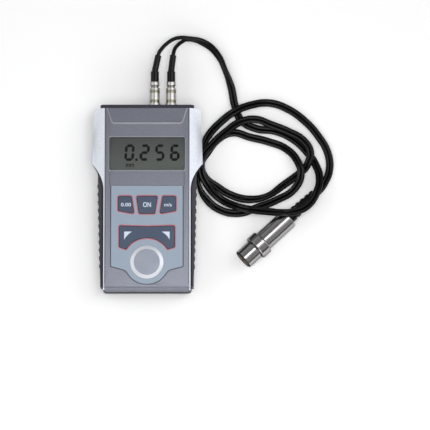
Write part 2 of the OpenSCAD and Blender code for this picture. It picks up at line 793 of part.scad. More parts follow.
// Hexagon nuts that clamp the sockets from inside
module socket_nuts() {
    nut_in_t = 2;
    color(brass)
        for (x = socket_xs)
            translate([x, y_in_top - fit, axis_z]) rotate([90, 0, 0]) difference() {
                cylinder(d = barrel_d + 2.6, h = nut_in_t, $fn = 6);
                translate([0, 0, -cut]) cylinder(d = barrel_d + 2 * fit, h = nut_in_t + 2 * cut);
            }
}

// One cell with its button, lying along Y from y, button towards +Y
module cell(y) {
    translate([0, y, cell_z]) turned_y([
        [0, 0], [cell_d / 2, 0], [cell_d / 2, cell_l - button_l], [button_r, cell_l - button_l],
        [button_r, cell_l], [0, cell_l]]);
}

module battery_cell_left() {
    color(key_blue) translate([-cell_x, 0, 0]) cell(bay_y0 + tab_t + spring_l);
}

module battery_cell_right() {
    color(key_blue) translate([cell_x, 0, 0]) mirror([0, 1, 0])
        cell(-(bay_y0 + tab_t + fit) - cell_l);
}

// Conical contact springs behind the flat end of each cell
module contact_springs() {
    wire_r = 0.4;
    turns = 3;
    steps = 12;
    wide = 3.8;
    slim = 2;
    run = spring_l - 2 * wire_r - 2 * fit;
    coil = [for (i = [0 : turns * steps]) let (t = i / (turns * steps))
        [(wide + (slim - wide) * t) * cos(360 * i / steps), (wide + (slim - wide) * t) * sin(360 * i / steps),
            wire_r + fit + run * t]];
    color(steel) {
        translate([-cell_x, bay_y0 + tab_t, cell_z]) rotate([-90, 0, 0]) round_tube(coil, wire_r, 6);
        translate([cell_x, bay_y1 - tab_t, cell_z]) rotate([90, 0, 0]) round_tube(coil, wire_r, 6);
    }
}

module contact_tab(x, y, w) {
    tab_h = parting_h - back_wall - 0.6;
    translate([x - w / 2, y, back_wall + 0.4]) cube([w, tab_t, tab_h]);
}

// Plate that joins both cells at the bottom end
module contact_bridge() {
    color(steel) contact_tab(0, bay_y0 + fit / 2, bay_w - 1);
}

// One plate for each cell at the upper end of the bay
module contact_tabs() {
    color(steel) {
        contact_tab(-cell_x, bay_y1 - tab_t - fit / 2, cell_d - 2);
        contact_tab(cell_x, bay_y1 - tab_t - fit / 2, cell_d - 2);
    }
}

// Sliding door over the cells: plate that follows the rounded end, tongue on each side, thumb grooves
module battery_door() {
    door_y1 = bay_y1 - door_gap;
    color(slate) difference() {
        intersection() {
            back_form();
            union() {
                translate([door_gap - bay_w / 2, y_bot - cut, door_gap])
                    cube([bay_w - 2 * door_gap, door_y1 - y_bot + cut, back_wall - door_gap]);
                translate([door_gap - bay_w / 2 - tongue_w, y_bot - cut, tongue_z + slip])
                    cube([bay_w + 2 * tongue_w - 2 * door_gap, door_y1 - y_bot + cut, tongue_h]);
            }
        }
        for (i = [0 : thumb_n - 1])
            translate([-thumb_w / 2, y_bot + thumb_up + i * thumb_pitch, door_gap - cut])
                cube([thumb_w, thumb_pitch / 2, thumb_d + cut]);
    }
}

// Four case screws from the back into the posts of the front shell
module case_screws() {
    color(steel) each_post(post_x, post_ys) {
        rod_z(0, 0, screw_head_r, screw_sink, seat_z - fit);
        rod_z(0, 0, screw_r, seat_z - fit - cut, seat_z + screw_l - cut);
    }
}

// A key of the first row: cap through the panel, flange behind it, plunger over its dome
module row_key(index) {
    flange_top = panel_in - fit;
    plunger_z = dome_top + key_travel + fit;
    color(key_blue) {
        along_z(flange_top - key_flange_t, case_h + key_proud) polygon(key_outlines[index]);
        along_z(flange_top - key_flange_t, flange_top) polygon(grow(key_outlines[index], flange_grow));
        rod_z(key_switches[index][0], key_switches[index][1], plunger_r, plunger_z, panel_in);
    }
}

module zero_key() {
    row_key(0);
}

module on_key() {
    row_key(1);
}

module velocity_key() {
    row_key(2);
}

// Arched key that rocks on the round edge of a rib over the board, with a plunger at each end
module arrow_key() {
    flange_top = panel_in - arch_tilt_room;
    flange_z = flange_top - key_flange_t;
    rib_y0 = disc_y + arch_r + 0.6;
    rib_l = arch_up - arch_dip - (arch_r + 0.6) - 0.6;
    color(key_blue) {
        along_z(flange_z, case_h + key_proud) polygon(arch_outline());
        along_z(flange_z, flange_top) polygon(grow(arch_outline(), flange_grow));
        translate([-pivot_r, rib_y0, pivot_z]) cube([2 * pivot_r, rib_l, flange_top - pivot_z]);
        translate([0, rib_y0, pivot_z]) turned_y([[0, 0], [pivot_r, 0], [pivot_r, rib_l], [0, rib_l]]);
        for (side = [-1, 1])
            rod_z(side * arch_switch_x, disc_y + arch_switch_up, plunger_r, dome_top + 0.3, flange_top);
    }
}

// Plug core: nose in the socket, shank inside the sleeve, thread for the collet nut
module plug_core(x) {
    nose_y = y_barrel + socket_floor + slip;
    color(steel) translate([x, 0, axis_z]) turned_y([
        [0, nose_y], [core_d / 2, nose_y], [core_d / 2, y_nut], [thread_r, y_nut],
        [thread_r, y_nut + nut_l], [0, y_nut + nut_l]]);
}

module plug_core_left() {
    plug_core(socket_xs[0]);
}

module plug_core_right() {
    plug_core(socket_xs[1]);
}

// Release sleeve with two grooved bands
module release_sleeve(x) {
    r = sleeve_d / 2;
    groove_d = 0.15;
    groove_w = 0.35;
    groove_pitch = 0.75;
    bands = [for (start = [0.5, sleeve_l - 3.2]) for (i = [0 : 2]) start + i * groove_pitch];
    color(steel) translate([x, y_sleeve, axis_z]) turned_y(concat(
        [[core_d / 2 + slip, 0], [r, 0]],
        [for (y = bands) each [[r, y], [r - groove_d, y], [r - groove_d, y + groove_w], [r, y + groove_w]]],
        [[r, sleeve_l], [core_d / 2 + slip, sleeve_l]]));
}

module release_sleeve_left() {
    release_sleeve(socket_xs[0]);
}

module release_sleeve_right() {
    release_sleeve(socket_xs[1]);
}

module collet_nut(x) {
    color(steel) translate([x, y_nut, axis_z]) turned_y([
        [thread_r + fit, 0], [nut_d / 2, 0], [nut_d / 2, nut_l - 0.4], [nut_d / 2 - 0.3, nut_l],
        [thread_r + fit, nut_l]]);
}

module collet_nut_left() {
    collet_nut(socket_xs[0]);
}

module collet_nut_right() {
    collet_nut(socket_xs[1]);
}

// Bend relief of a plug: wide sleeve, then a slim part that leans with its lead
module plug_boot(x, lean) {
    color(black) translate([x, y_boot, axis_z]) {
        turned_y([[0, 0], [boot_d / 2, 0], [boot_d / 2, boot_l - boot_edge],
            [boot_d / 2 - boot_edge, boot_l], [0, boot_l]]);
        translate([0, boot_l, 0]) rotate([0, 0, -lean])
            turned_y([[0, -boot_end_d / 2], [boot_end_d / 2, -boot_end_d / 2],
                [boot_end_d / 2, boot_end_l], [0, boot_end_l]]);
    }
}

module plug_boot_left() {
    plug_boot(socket_xs[0], boot_leans[0]);
}

module plug_boot_right() {
    plug_boot(socket_xs[1], boot_leans[1]);
}

// End of a plug's boot, where its lead starts, and a point a little further along it
function boot_end(i, further) = [
    socket_xs[i] + (boot_end_l + further) * sin(boot_leans[i]),
    y_knee + (boot_end_l + further) * cos(boot_leans[i]), axis_z];

module lead_left() {
    color(black) round_tube(concat([boot_end(0, 0), boot_end(0, 1.5)], left_route), strand_d / 2);
}

module lead_right() {
    color(black) round_tube(concat([boot_end(1, 0), boot_end(1, 1.5)], right_route), strand_d / 2);
}

// Place of a point on the probe's axis, counted from the end of its rear tube towards the boot
function on_probe(along) = [
    probe_rear[0] + along * cos(probe_tilt) * cos(probe_turn),
    probe_rear[1] + along * cos(probe_tilt) * sin(probe_turn),
    probe_rear_z - along * sin(probe_tilt)];

// Bonded twin cable: one flat section with rounded edges along the whole route
module twin_cable() {
    r = strand_d / 2;
    slope = 0.76;
    flat = 0.54;
    section = [[2 * r, flat], [r + slope - flat, r], [flat - slope - r, r], [-2 * r, flat],
        [-2 * r, -flat], [flat - slope - r, -r], [r + slope - flat, -r], [2 * r, -flat]];
    points = concat([for (p = route) [p[0], p[1], p[2]]], [on_probe(relief_l + lead_in), on_probe(relief_l)]);
    color(black) sweep(points, section, concat([for (p = route) p[3]], [0, 0]));
}

// Frame of the probe: its axis becomes +Y, with y = 0 at the end of the rear tube
module in_probe() {
    translate([probe_rear[0], probe_rear[1], probe_rear_z])
        rotate([0, 0, probe_turn - 90]) rotate([-probe_tilt, 0, 0]) children();
}

// Ribbed bend relief of the probe
module probe_boot() {
    r0 = relief_d / 2;
    r1 = relief_end_d / 2;
    radius = function (y) r0 + (r1 - r0) * y / relief_l;
    pitch = relief_l / (relief_rib_n + 1);
    color(black) in_probe() turned_y(concat(
        [[0, fit], [r0, fit]],
        [for (i = [1 : relief_rib_n]) let (y = i * pitch) each [
            [radius(y), y], [radius(y) - relief_groove, y + 0.2],
            [radius(y) - relief_groove, y + pitch - relief_rib_l],
            [radius(y), y + pitch - relief_rib_l + 0.2]]],
        [[r1, relief_l], [0, relief_l]]));
}

// Stainless housing: rear tube and collar in one, filleted behind the collar, open to the nose
module probe_housing() {
    r = probe_d / 2;
    collar_r = probe_collar_d / 2;
    end_t = 2.5;
    color(steel) in_probe() turned_y(concat(
        [[0, 0], [r - 0.5, 0], [r, -0.5]],
        [[r, 0.6 - rear_l], [r + 0.5, -rear_l + 0.1], [collar_r - 0.3, -rear_l], [collar_r, -rear_l - 0.3],
            [collar_r, -rear_l - probe_collar_l + 0.4], [collar_r - 0.4, -rear_l - probe_collar_l],
            [r - probe_wall, -rear_l - probe_collar_l], [r - probe_wall, -end_t], [0, -end_t]]));
}

nose_y0 = -rear_l - probe_collar_l - fit;
nose_y1 = nose_y0 - nose_l;
probe_in_r = probe_d / 2 - probe_wall;

// Stainless nose, a tube round the delay lines
module probe_nose() {
    r = probe_d / 2;
    color(steel) in_probe() turned_y([
        [probe_in_r, nose_y0], [r - 0.5, nose_y0], [r - 0.5, nose_y0 - 0.6], [r, nose_y0 - 0.8],
        [r, nose_y1 + 0.5], [r - 0.5, nose_y1], [probe_in_r, nose_y1]]);
}

// Two half rounds side by side in the nose, cut apart by the barrier
module half_rounds(y0, y1, r) {
    in_probe() difference() {
        turned_y([[0, y0], [r, y0], [r, y1], [0, y1]]);
        translate([-barrier_t / 2 - fit, y0 - cut, -2 * r])
            cube([barrier_t + 2 * fit, y1 - y0 + 2 * cut, 4 * r]);
    }
}

module delay_lines() {
    color([0.85, 0.82, 0.7]) half_rounds(nose_y1, nose_y1 + delay_l, probe_in_r - fit);
}

// Sound-absorbing sheet between the two halves of the nose
module acoustic_barrier() {
    r = probe_in_r - fit;
    color([0.5, 0.38, 0.25]) in_probe() translate([-barrier_t / 2, nose_y1, -r])
        cube([barrier_t, delay_l + crystal_t + fit, 2 * r - 0.2]);
}

module crystals() {
    color(brass) half_rounds(nose_y1 + delay_l + fit, nose_y1 + delay_l + fit + crystal_t, probe_in_r - 0.6);
}

module damping_block() {
    y0 = nose_y1 + delay_l + crystal_t + 2 * fit;
    color([0.2, 0.2, 0.22]) in_probe()
        turned_y([[0, y0], [probe_in_r - fit, y0], [probe_in_r - fit, y0 + damping_l], [0, y0 + damping_l]]);
}

front_shell();
back_shell();
top_plate();
grip_left();
grip_right();
display_window();
display_glass();
display_backlight();
display_frame();
keypad_overlay();
switch_domes();
main_board();
board_chips();
board_screws();
calibration_disc();
socket_left();
socket_right();
socket_nuts();
battery_cell_left();
battery_cell_right();
contact_springs();
contact_bridge();
contact_tabs();
battery_door();
case_screws();
zero_key();
on_key();
velocity_key();
arrow_key();
plug_core_left();
plug_core_right();
release_sleeve_left();
release_sleeve_right();
collet_nut_left();
collet_nut_right();
plug_boot_left();
plug_boot_right();
lead_left();
lead_right();
twin_cable();
probe_boot();
probe_housing();
probe_nose();
delay_lines();
acoustic_barrier();
crystals();
damping_block();
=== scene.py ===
import math

import bmesh
import bpy
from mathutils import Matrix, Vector


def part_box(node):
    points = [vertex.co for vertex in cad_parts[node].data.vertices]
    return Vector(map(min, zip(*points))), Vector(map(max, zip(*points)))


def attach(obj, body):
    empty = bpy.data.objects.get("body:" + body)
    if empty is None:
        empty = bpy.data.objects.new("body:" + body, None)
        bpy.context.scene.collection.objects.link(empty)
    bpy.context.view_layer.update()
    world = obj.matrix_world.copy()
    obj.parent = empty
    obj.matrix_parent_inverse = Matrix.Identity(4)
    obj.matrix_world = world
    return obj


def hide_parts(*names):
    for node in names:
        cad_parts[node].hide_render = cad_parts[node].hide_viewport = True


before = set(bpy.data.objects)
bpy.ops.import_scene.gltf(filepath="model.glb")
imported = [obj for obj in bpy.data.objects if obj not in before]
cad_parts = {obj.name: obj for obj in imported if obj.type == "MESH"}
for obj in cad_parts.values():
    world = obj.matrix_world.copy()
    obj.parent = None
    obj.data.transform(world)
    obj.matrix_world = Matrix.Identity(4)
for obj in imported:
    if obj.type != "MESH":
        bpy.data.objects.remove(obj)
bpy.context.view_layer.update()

# The camera stands over the bottom end of the gauge and looks almost straight down on a pale table.
# The image is square and takes in the gauge, the whole loop of its cable and the probe.
MM = 0.001
VIEW_WIDTH = 279.2 * MM
VIEW_TARGET = Vector((43.8 * MM, -9.6 * MM, 0))
VIEW_ELEVATION = math.radians(82)
VIEW_DISTANCE = 2.5
VIEW_CLIP = 100
SENSOR = 36

camera_data = bpy.data.cameras.new("camera")
camera_data.sensor_width = SENSOR
camera_data.lens = SENSOR * VIEW_DISTANCE / VIEW_WIDTH
camera_data.clip_end = VIEW_CLIP
camera = bpy.data.objects.new("camera", camera_data)
camera.location = VIEW_TARGET + VIEW_DISTANCE * Vector((0, -math.cos(VIEW_ELEVATION), math.sin(VIEW_ELEVATION)))
camera.rotation_euler = (math.pi / 2 - VIEW_ELEVATION, 0, 0)
scene = bpy.context.scene
scene.collection.objects.link(camera)
scene.camera = camera
scene.view_settings.view_transform = "Standard"

# The studio: a round pale table top under a dome of soft light, brightest halfway up and dark at the horizon.
# Large soft boxes stand to the left, right and front, for the sides of the gauge. One overhead draws a bright
# line along every round metal piece, and a small key light hangs low over the bottom end of the panel.
FLOOR_RADIUS = 8
FLOOR_SEGMENTS = 64
FLOOR_WHITE = (0.93, 0.93, 0.935, 1)
FLOOR_ROUGH = 0.9
FLOOR_GLOSS = 0.1
FLOOR_GLOW = 0.14
SKY_STOPS = ((0, 0.1), (0.2, 0.1), (0.45, 0.7), (1, 0.3))
SKY_STRENGTH = 0.62
# Each lamp's place and width in metres, and its watts
LAMPS = {
    "soft_box_left": ((-1.3, 0.2, 1.1), 1.5, 6),
    "soft_box_right": ((1.2, 0.35, 1.2), 1.2, 6),
    "soft_box_top": ((0.38, 0.13, 1.2), 0.45, 1.6),
    "soft_box_front": ((0, -1.0, 0.35), 0.8, 4.5),
    "key_light": ((0.03, -0.08, 0.55), 0.25, 0.9),
}


def put(tree, kind, sockets=None, **traits):
    """Adds a shader node; a socket's value is a number, a colour or another node's output."""
    node = tree.nodes.new("ShaderNode" + kind)
    for trait, value in traits.items():
        setattr(node, trait, value)
    for socket, value in (sockets or {}).items():
        if isinstance(value, bpy.types.NodeSocket):
            tree.links.new(value, node.inputs[socket])
        else:
            node.inputs[socket].default_value = value
    return node


def maths(tree, operation, *values):
    """The result of a Math node."""
    return put(tree, "Math", dict(enumerate(values)), operation=operation).outputs[0]


def ramp(tree, factor, stops):
    """A colour ramp through (position, colour) stops."""
    node = put(tree, "ValToRGB", {"Fac": factor})
    elements = node.color_ramp.elements
    while len(elements) < len(stops):
        elements.new(0.5)
    for element, (position, colour) in zip(elements, stops):
        element.position = position
        element.color = (*colour, 1)
    return node.outputs["Color"]


def grey(value):
    """A colour without hue."""
    return (value, value, value)


floor_shape = bmesh.new()
bmesh.ops.create_circle(floor_shape, cap_ends=True, segments=FLOOR_SEGMENTS, radius=FLOOR_RADIUS)
floor_mesh = bpy.data.meshes.new("floor")
floor_shape.to_mesh(floor_mesh)
floor_shape.free()
floor = bpy.data.objects.new("floor", floor_mesh)
scene.collection.objects.link(floor)
floor_material = bpy.data.materials.new("floor")
floor_material.use_nodes = True
floor_tree = floor_material.node_tree
floor_sockets = floor_tree.nodes["Principled BSDF"].inputs
floor_sockets["Base Color"].default_value = FLOOR_WHITE
floor_sockets["Roughness"].default_value = FLOOR_ROUGH
floor_sockets["Specular IOR Level"].default_value = FLOOR_GLOSS
floor_sockets["Emission Color"].default_value = (1, 1, 1, 1)
ray = put(floor_tree, "LightPath").outputs
seen = maths(floor_tree, "MAXIMUM", ray["Is Camera Ray"], ray["Is Glossy Ray"])
seen = maths(floor_tree, "MAXIMUM", seen, ray["Is Transmission Ray"])
floor_tree.links.new(maths(floor_tree, "MULTIPLY", seen, FLOOR_GLOW), floor_sockets["Emission Strength"])
floor_mesh.materials.append(floor_material)

world = bpy.data.worlds.new("studio")
world.use_nodes = True
scene.world = world
sky = world.node_tree
backdrop = sky.nodes["Background"].inputs
height = put(sky, "SeparateXYZ", {"Vector": put(sky, "TexCoord").outputs["Generated"]}).outputs["Z"]
sky_colour = ramp(sky, height, [(position, grey(value)) for position, value in SKY_STOPS])
sky.links.new(sky_colour, backdrop["Color"])
backdrop["Strength"].default_value = SKY_STRENGTH
for name, (stand, width, watts) in LAMPS.items():
    light = bpy.data.lights.new(name, "AREA")
    light.size = width
    light.energy = watts
    lamp = bpy.data.objects.new(name, light)
    lamp.location = stand
    lamp.rotation_euler = (VIEW_TARGET - lamp.location).to_track_quat("-Z", "Y").to_euler()
    scene.collection.objects.link(lamp)

# The cable: two round coaxial strands bonded side by side in a black plastic jacket, about 0.8 m long.
# Each strand leaves its own plug as a single lead, then both lie in loose loops on the table to the probe.
STRAND_D = 2.6 * MM
STRAND_OFFSET = 1.26 * MM
STRAND_BEVEL_STEPS = 4
STRAND_CURVE_STEPS = 8
CABLE_BLACK = (0.0015, 0.0015, 0.0017)
CABLE_GREY = (0.004, 0.004, 0.0044)
CABLE_GLOSS = 0.20
# The middle line of the twin cable from the plugs to the probe: x, y and z in metres, roll in degrees
TWIN_ROUTE = [
    (0.0255, 0.1060, 0.0036, -70), (0.0370, 0.1032, 0.0027, -42), (0.0455, 0.0955, 0.0027, -50),
    (0.0505, 0.0850, 0.0028, -65), (0.0545, 0.0735, 0.0022, -15), (0.0568, 0.0620, 0.0014, 0),
    (0.0610, 0.0523, 0.0014, 0), (0.0705, 0.0470, 0.0014, 0), (0.0830, 0.0453, 0.0014, 0),
    (0.0945, 0.0400, 0.0014, 0), (0.1040, 0.0310, 0.0014, 0), (0.1095, 0.0225, 0.0017, 0),
    (0.1116, 0.0140, 0.0050, 0), (0.1100, 0.0050, 0.0090, 0), (0.1035, -0.0053, 0.0118, 0),
    (0.0940, -0.0096, 0.0141, -15), (0.0870, -0.0100, 0.0142, -25), (0.0775, -0.0086, 0.0094, 0),
    (0.0685, -0.0070, 0.0050, 0), (0.0580, -0.0046, 0.0039, 0), (0.0465, 0.0012, 0.0024, 0),
    (0.0388, 0.0094, 0.0054, 0), (0.0348, 0.0185, 0.0068, 0), (0.0354, 0.0270, 0.0068, 0),
    (0.0420, 0.0360, 0.0047, 0), (0.0515, 0.0450, 0.0042, 0), (0.0605, 0.0510, 0.0042, 0),
    (0.0705, 0.0526, 0.0042, 0), (0.0800, 0.0492, 0.0042, 0), (0.0915, 0.0446, 0.0042, 0),
    (0.1010, 0.0390, 0.0042, 0), (0.1056, 0.0315, 0.0042, 0), (0.1044, 0.0242, 0.0040, 0),
    (0.1012, 0.0196, 0.0017, 0), (0.0975, 0.0166, 0.0014, 0), (0.0875, 0.0092, 0.0017, 10),
    (0.0780, 0.0026, 0.0026, 55), (0.0665, 0.0004, 0.0018, 15), (0.0545, 0.0032, 0.0014, 0),
    (0.0450, 0.0090, 0.0022, 40), (0.0383, 0.0154, 0.0028, 90), (0.0360, 0.0230, 0.0028, 90),
    (0.0392, 0.0310, 0.0021, 35), (0.0460, 0.0400, 0.0014, 0), (0.0550, 0.0442, 0.0014, 0),
    (0.0670, 0.0412, 0.0014, 0), (0.0790, 0.0382, 0.0014, 0), (0.0900, 0.0336, 0.0017, 0),
    (0.0972, 0.0252, 0.0044, 0), (0.0996, 0.0166, 0.0046, 0), (0.0950, 0.0068, 0.0023, 0),
    (0.0842, 0.0002, 0.0014, 0), (0.0715, -0.0048, 0.0014, 0), (0.0595, -0.0086, 0.0014, 0),
    (0.0475, -0.0066, 0.0014, 0), (0.0380, 0.0008, 0.0020, 25), (0.0336, 0.0090, 0.0027, 80),
    (0.0330, 0.0200, 0.0028, 90), (0.0350, 0.0320, 0.0027, 60), (0.0395, 0.0423, 0.0016, 10),
    (0.0475, 0.0512, 0.0017, 0), (0.0570, 0.0580, 0.0042, 0), (0.0675, 0.0624, 0.0026, 0),
    (0.0790, 0.0639, 0.0014, 0), (0.0900, 0.0605, 0.0014, 0), (0.1015, 0.0526, 0.0014, 0),
    (0.1110, 0.0420, 0.0014, 0), (0.1174, 0.0300, 0.0014, 0), (0.1180, 0.0190, 0.0016, 0),
    (0.1152, 0.0116, 0.0032, 0), (0.1120, 0.0067, 0.0045, 0), (0.1076, 0.0025, 0.0049, 0),
]
LEFT_LEAD = [(0.0065, 0.0916, 0.0110), (0.0072, 0.0949, 0.0110), (0.0092, 0.0982, 0.0104),
             (0.0125, 0.1018, 0.0092), (0.0168, 0.1050, 0.0075), (0.0210, 0.1064, 0.0058)]
RIGHT_LEAD = [(0.0163, 0.0916, 0.0110), (0.0168, 0.0951, 0.0108), (0.0177, 0.0984, 0.0088),
              (0.0196, 0.1014, 0.0060), (0.0220, 0.1038, 0.0036)]
NOISE_LOW, NOISE_HIGH = 0.3, 0.7
MIX_A, MIX_B, MIX_RESULT = 6, 7, 2
DRIFT_DETAIL = 3
GRAIN_BUMP = 0.5


def new_material(name, metallic=0.0):
    """A material with one Principled shader; returns it with its tree, shader and object coordinates."""
    material = bpy.data.materials.new(name)
    material.use_nodes = True
    tree = material.node_tree
    shader = tree.nodes["Principled BSDF"]
    shader.inputs["Metallic"].default_value = metallic
    return material, tree, shader, put(tree, "TexCoord").outputs["Object"]


def mix(tree, factor, a, b, blend="MIX"):
    """A colour between a and b, which are colours or other nodes' outputs."""
    a, b = (value if isinstance(value, bpy.types.NodeSocket) else (*value, 1) for value in (a, b))
    return put(tree, "Mix", {"Factor": factor, MIX_A: a, MIX_B: b}, data_type="RGBA",
               blend_type=blend).outputs[MIX_RESULT]


def span(tree, factor, low, high, start=NOISE_LOW, end=NOISE_HIGH):
    """A number that goes from low to high while the factor goes from start to end; noise keeps to the defaults."""
    return put(tree, "MapRange", {"Value": factor, "From Min": start, "From Max": end,
                                  "To Min": low, "To Max": high}).outputs["Result"]


def noise(tree, position, scale, detail=2, distortion=0):
    """Cloudy noise."""
    return put(tree, "TexNoise", {"Vector": position, "Scale": scale, "Detail": detail,
                                  "Distortion": distortion}).outputs["Fac"]


def new_group(name, *numbers):
    """An empty node group for a surface, with numbers of its own; returns its tree, inputs and output node."""
    tree = bpy.data.node_groups.new(name, "ShaderNodeTree")
    inputs = {"Position": "Vector", "Dark": "Color", "Light": "Color", "Smooth": "Float", "Rough": "Float",
              **dict.fromkeys(numbers, "Float")}
    outputs = {"Color": "Color", "Roughness": "Float", "Height": "Float"}
    for in_out, sockets in (("INPUT", inputs), ("OUTPUT", outputs)):
        for socket, kind in sockets.items():
            tree.interface.new_socket(socket, in_out=in_out, socket_type="NodeSocket" + kind)
    return tree, tree.nodes.new("NodeGroupInput").outputs, tree.nodes.new("NodeGroupOutput")


def close_group(tree, given, out, tone, gloss, height):
    """Links a group's output: its colour and roughness lie between those given, by tone and by gloss."""
    results = {"Color": mix(tree, span(tree, tone, 0, 1), given["Dark"], given["Light"]),
               "Roughness": span(tree, gloss, given["Smooth"], given["Rough"]), "Height": height}
    for socket, value in results.items():
        tree.links.new(value, out.inputs[socket])


def connect(tree, shader, colour, group, strength, bump):
    """Feeds a shader with a colour, and with a group's roughness and bump."""
    relief = put(tree, "Bump", {"Height": group["Height"], "Strength": strength, "Distance": bump})
    for socket, value in {"Base Color": colour, "Roughness": group["Roughness"],
                          "Normal": relief.outputs["Normal"]}.items():
        tree.links.new(value, shader.inputs[socket])


# Grain of moulded and sprayed surfaces: a soft drift of colour and gloss, and a fine even roughness
grain_tree, grain_in, grain_out = new_group("grain", "Drift Scale", "Grain Scale")
drift = noise(grain_tree, grain_in["Position"], grain_in["Drift Scale"], DRIFT_DETAIL)
fine = noise(grain_tree, grain_in["Position"], grain_in["Grain Scale"])
tone = maths(grain_tree, "MULTIPLY", maths(grain_tree, "ADD", drift, fine), 0.5)
close_group(grain_tree, grain_in, grain_out, tone, drift, fine)


def grained(name, dark, light, rough, grain, bump, gloss=0.5, metallic=0.0, drift=60.0):
    """A material with the grain group in its colour, roughness and bump; rough is a range."""
    material, tree, shader, position = new_material(name, metallic)
    shader.inputs["Specular IOR Level"].default_value = gloss
    group = put(tree, "Group", {"Position": position, "Drift Scale": drift, "Grain Scale": grain,
                                "Dark": (*dark, 1), "Light": (*light, 1), "Smooth": rough[0], "Rough": rough[1]},
                node_tree=grain_tree).outputs
    connect(tree, shader, group["Color"], group, GRAIN_BUMP, bump)
    return material


def strand(name, lead, side_sign, material):
    """One strand: its lead, then its side of the twin cable, turned by the cable's roll."""
    middle = [Vector(stop[:3]) for stop in TWIN_ROUTE]
    points = [Vector(stop) for stop in lead]
    for index, stop in enumerate(TWIN_ROUTE):
        heading = (middle[min(index + 1, len(middle) - 1)] - middle[max(index - 1, 0)]).normalized()
        side = heading.cross(Vector((0, 0, 1))).normalized()
        roll = math.radians(stop[3])
        outward = side * math.cos(roll) + side.cross(heading) * math.sin(roll)
        points.append(middle[index] + side_sign * STRAND_OFFSET * outward)
    curve = bpy.data.curves.new(name, "CURVE")
    curve.dimensions = "3D"
    curve.bevel_depth = STRAND_D / 2
    curve.bevel_resolution = STRAND_BEVEL_STEPS
    curve.resolution_u = STRAND_CURVE_STEPS
    curve.use_fill_caps = True
    spline = curve.splines.new("BEZIER")
    spline.bezier_points.add(len(points) - 1)
    for knot, point in zip(spline.bezier_points, points):
        knot.co = point
        knot.handle_left_type = knot.handle_right_type = "AUTO"
    curve.materials.append(material)
    piece = bpy.data.objects.new(name, curve)
    scene.collection.objects.link(piece)
    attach(piece, "case")
    return piece


jacket = grained("cable_jacket", CABLE_BLACK, CABLE_GREY, rough=(0.17, 0.25), grain=1800, bump=0.005 * MM,
                 gloss=CABLE_GLOSS, drift=90)
left_strand = strand("strand_left", LEFT_LEAD, -1, jacket)
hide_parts("lead_left", "twin_cable")
right_strand = strand("strand_right", RIGHT_LEAD, 1, jacket)
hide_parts("lead_right", "twin_cable")

# The back shell: a tray of dark slate plastic, injection moulded with a fine spark-eroded texture.
# It carries the cells, and the door slides over them along tracks in its floor.
SLATE_DARK = (0.036, 0.039, 0.052)
SLATE_LIGHT = (0.052, 0.056, 0.072)
SLATE_GLOSS = 0.15
WELD = 0.001 * MM
COPLANAR = math.radians(0.5)
CREASE = math.radians(35)
EDGE_STEPS = 3


def place(name, shape, material, body):
    """Makes a piece of a bmesh, smooth between its creases, that rides on a body."""
    mesh = bpy.data.meshes.new(name)
    shape.to_mesh(mesh)
    shape.free()
    mesh.shade_smooth()
    mesh.set_sharp_from_angle(angle=CREASE)
    mesh.materials.append(material)
    piece = bpy.data.objects.new(name, mesh)
    scene.collection.objects.link(piece)
    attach(piece, body)
    return piece


def welded(node):
    """A bmesh of a CAD node's shape, with its loose triangles joined into whole faces."""
    shape = bmesh.new()
    shape.from_mesh(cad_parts[node].data)
    bmesh.ops.remove_doubles(shape, verts=shape.verts, dist=WELD)
    bmesh.ops.dissolve_limit(shape, angle_limit=COPLANAR, verts=shape.verts, edges=shape.edges)
    return shape


def moulding(node, material, body, edge=0.0):
    """A welded piece that stands for a CAD node, with its sharp edges rounded off."""
    piece = place(node + "_moulding", welded(node), material, body)
    if edge:
        rounding = piece.modifiers.new("edges", "BEVEL")
        rounding.width = edge
        rounding.segments = EDGE_STEPS
        rounding.limit_method = "ANGLE"
        rounding.angle_limit = CREASE
    piece.modifiers.new("normals", "WEIGHTED_NORMAL").keep_sharp = not edge
    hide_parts(node)
    return piece


def dress(material, *nodes):
    """Gives CAD nodes a material in place of their own."""
    for node in nodes:
        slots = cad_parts[node].data.materials
        slots.clear()
        slots.append(material)


slate = grained("dark_plastic", SLATE_DARK, SLATE_LIGHT, rough=(0.45, 0.55), grain=2600, bump=0.04 * MM,
                gloss=SLATE_GLOSS)
moulding("back_shell", slate, "case")

# Two AA cells lie head to tail in the bay, in a printed film jacket over a steel can.
# The jacket is plain: a copper band next to the button and a dark body.
JACKET_DARK = (0.020, 0.022, 0.028)
JACKET_COPPER = (0.46, 0.20, 0.07)
JACKET_METALLIC = 0.6
JACKET_ROUGH = (0.22, 0.36)
CAN_STEEL = grey(0.6)
CELL_STOPS = [(0, JACKET_DARK), (0.72, JACKET_DARK), (0.73, JACKET_COPPER), (0.965, JACKET_COPPER),
              (0.975, CAN_STEEL)]
SCUFF_SCALE = 150
SCUFF_DETAIL = 3
for side_name, button_sign in (("left", 1), ("right", -1)):
    cell_node = "battery_cell_" + side_name
    cell_low, cell_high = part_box(cell_node)
    jacket_film, tree, shader, position = new_material("cell_jacket_" + side_name, JACKET_METALLIC)
    along = put(tree, "SeparateXYZ", {"Vector": position}).outputs["Y"]
    ends = (cell_low.y, cell_high.y) if button_sign > 0 else (cell_high.y, cell_low.y)
    tree.links.new(ramp(tree, span(tree, along, 0, 1, *ends), CELL_STOPS), shader.inputs["Base Color"])
    scuffs = noise(tree, position, SCUFF_SCALE, SCUFF_DETAIL)
    tree.links.new(span(tree, scuffs, *JACKET_ROUGH), shader.inputs["Roughness"])
    dress(jacket_film, cell_node)

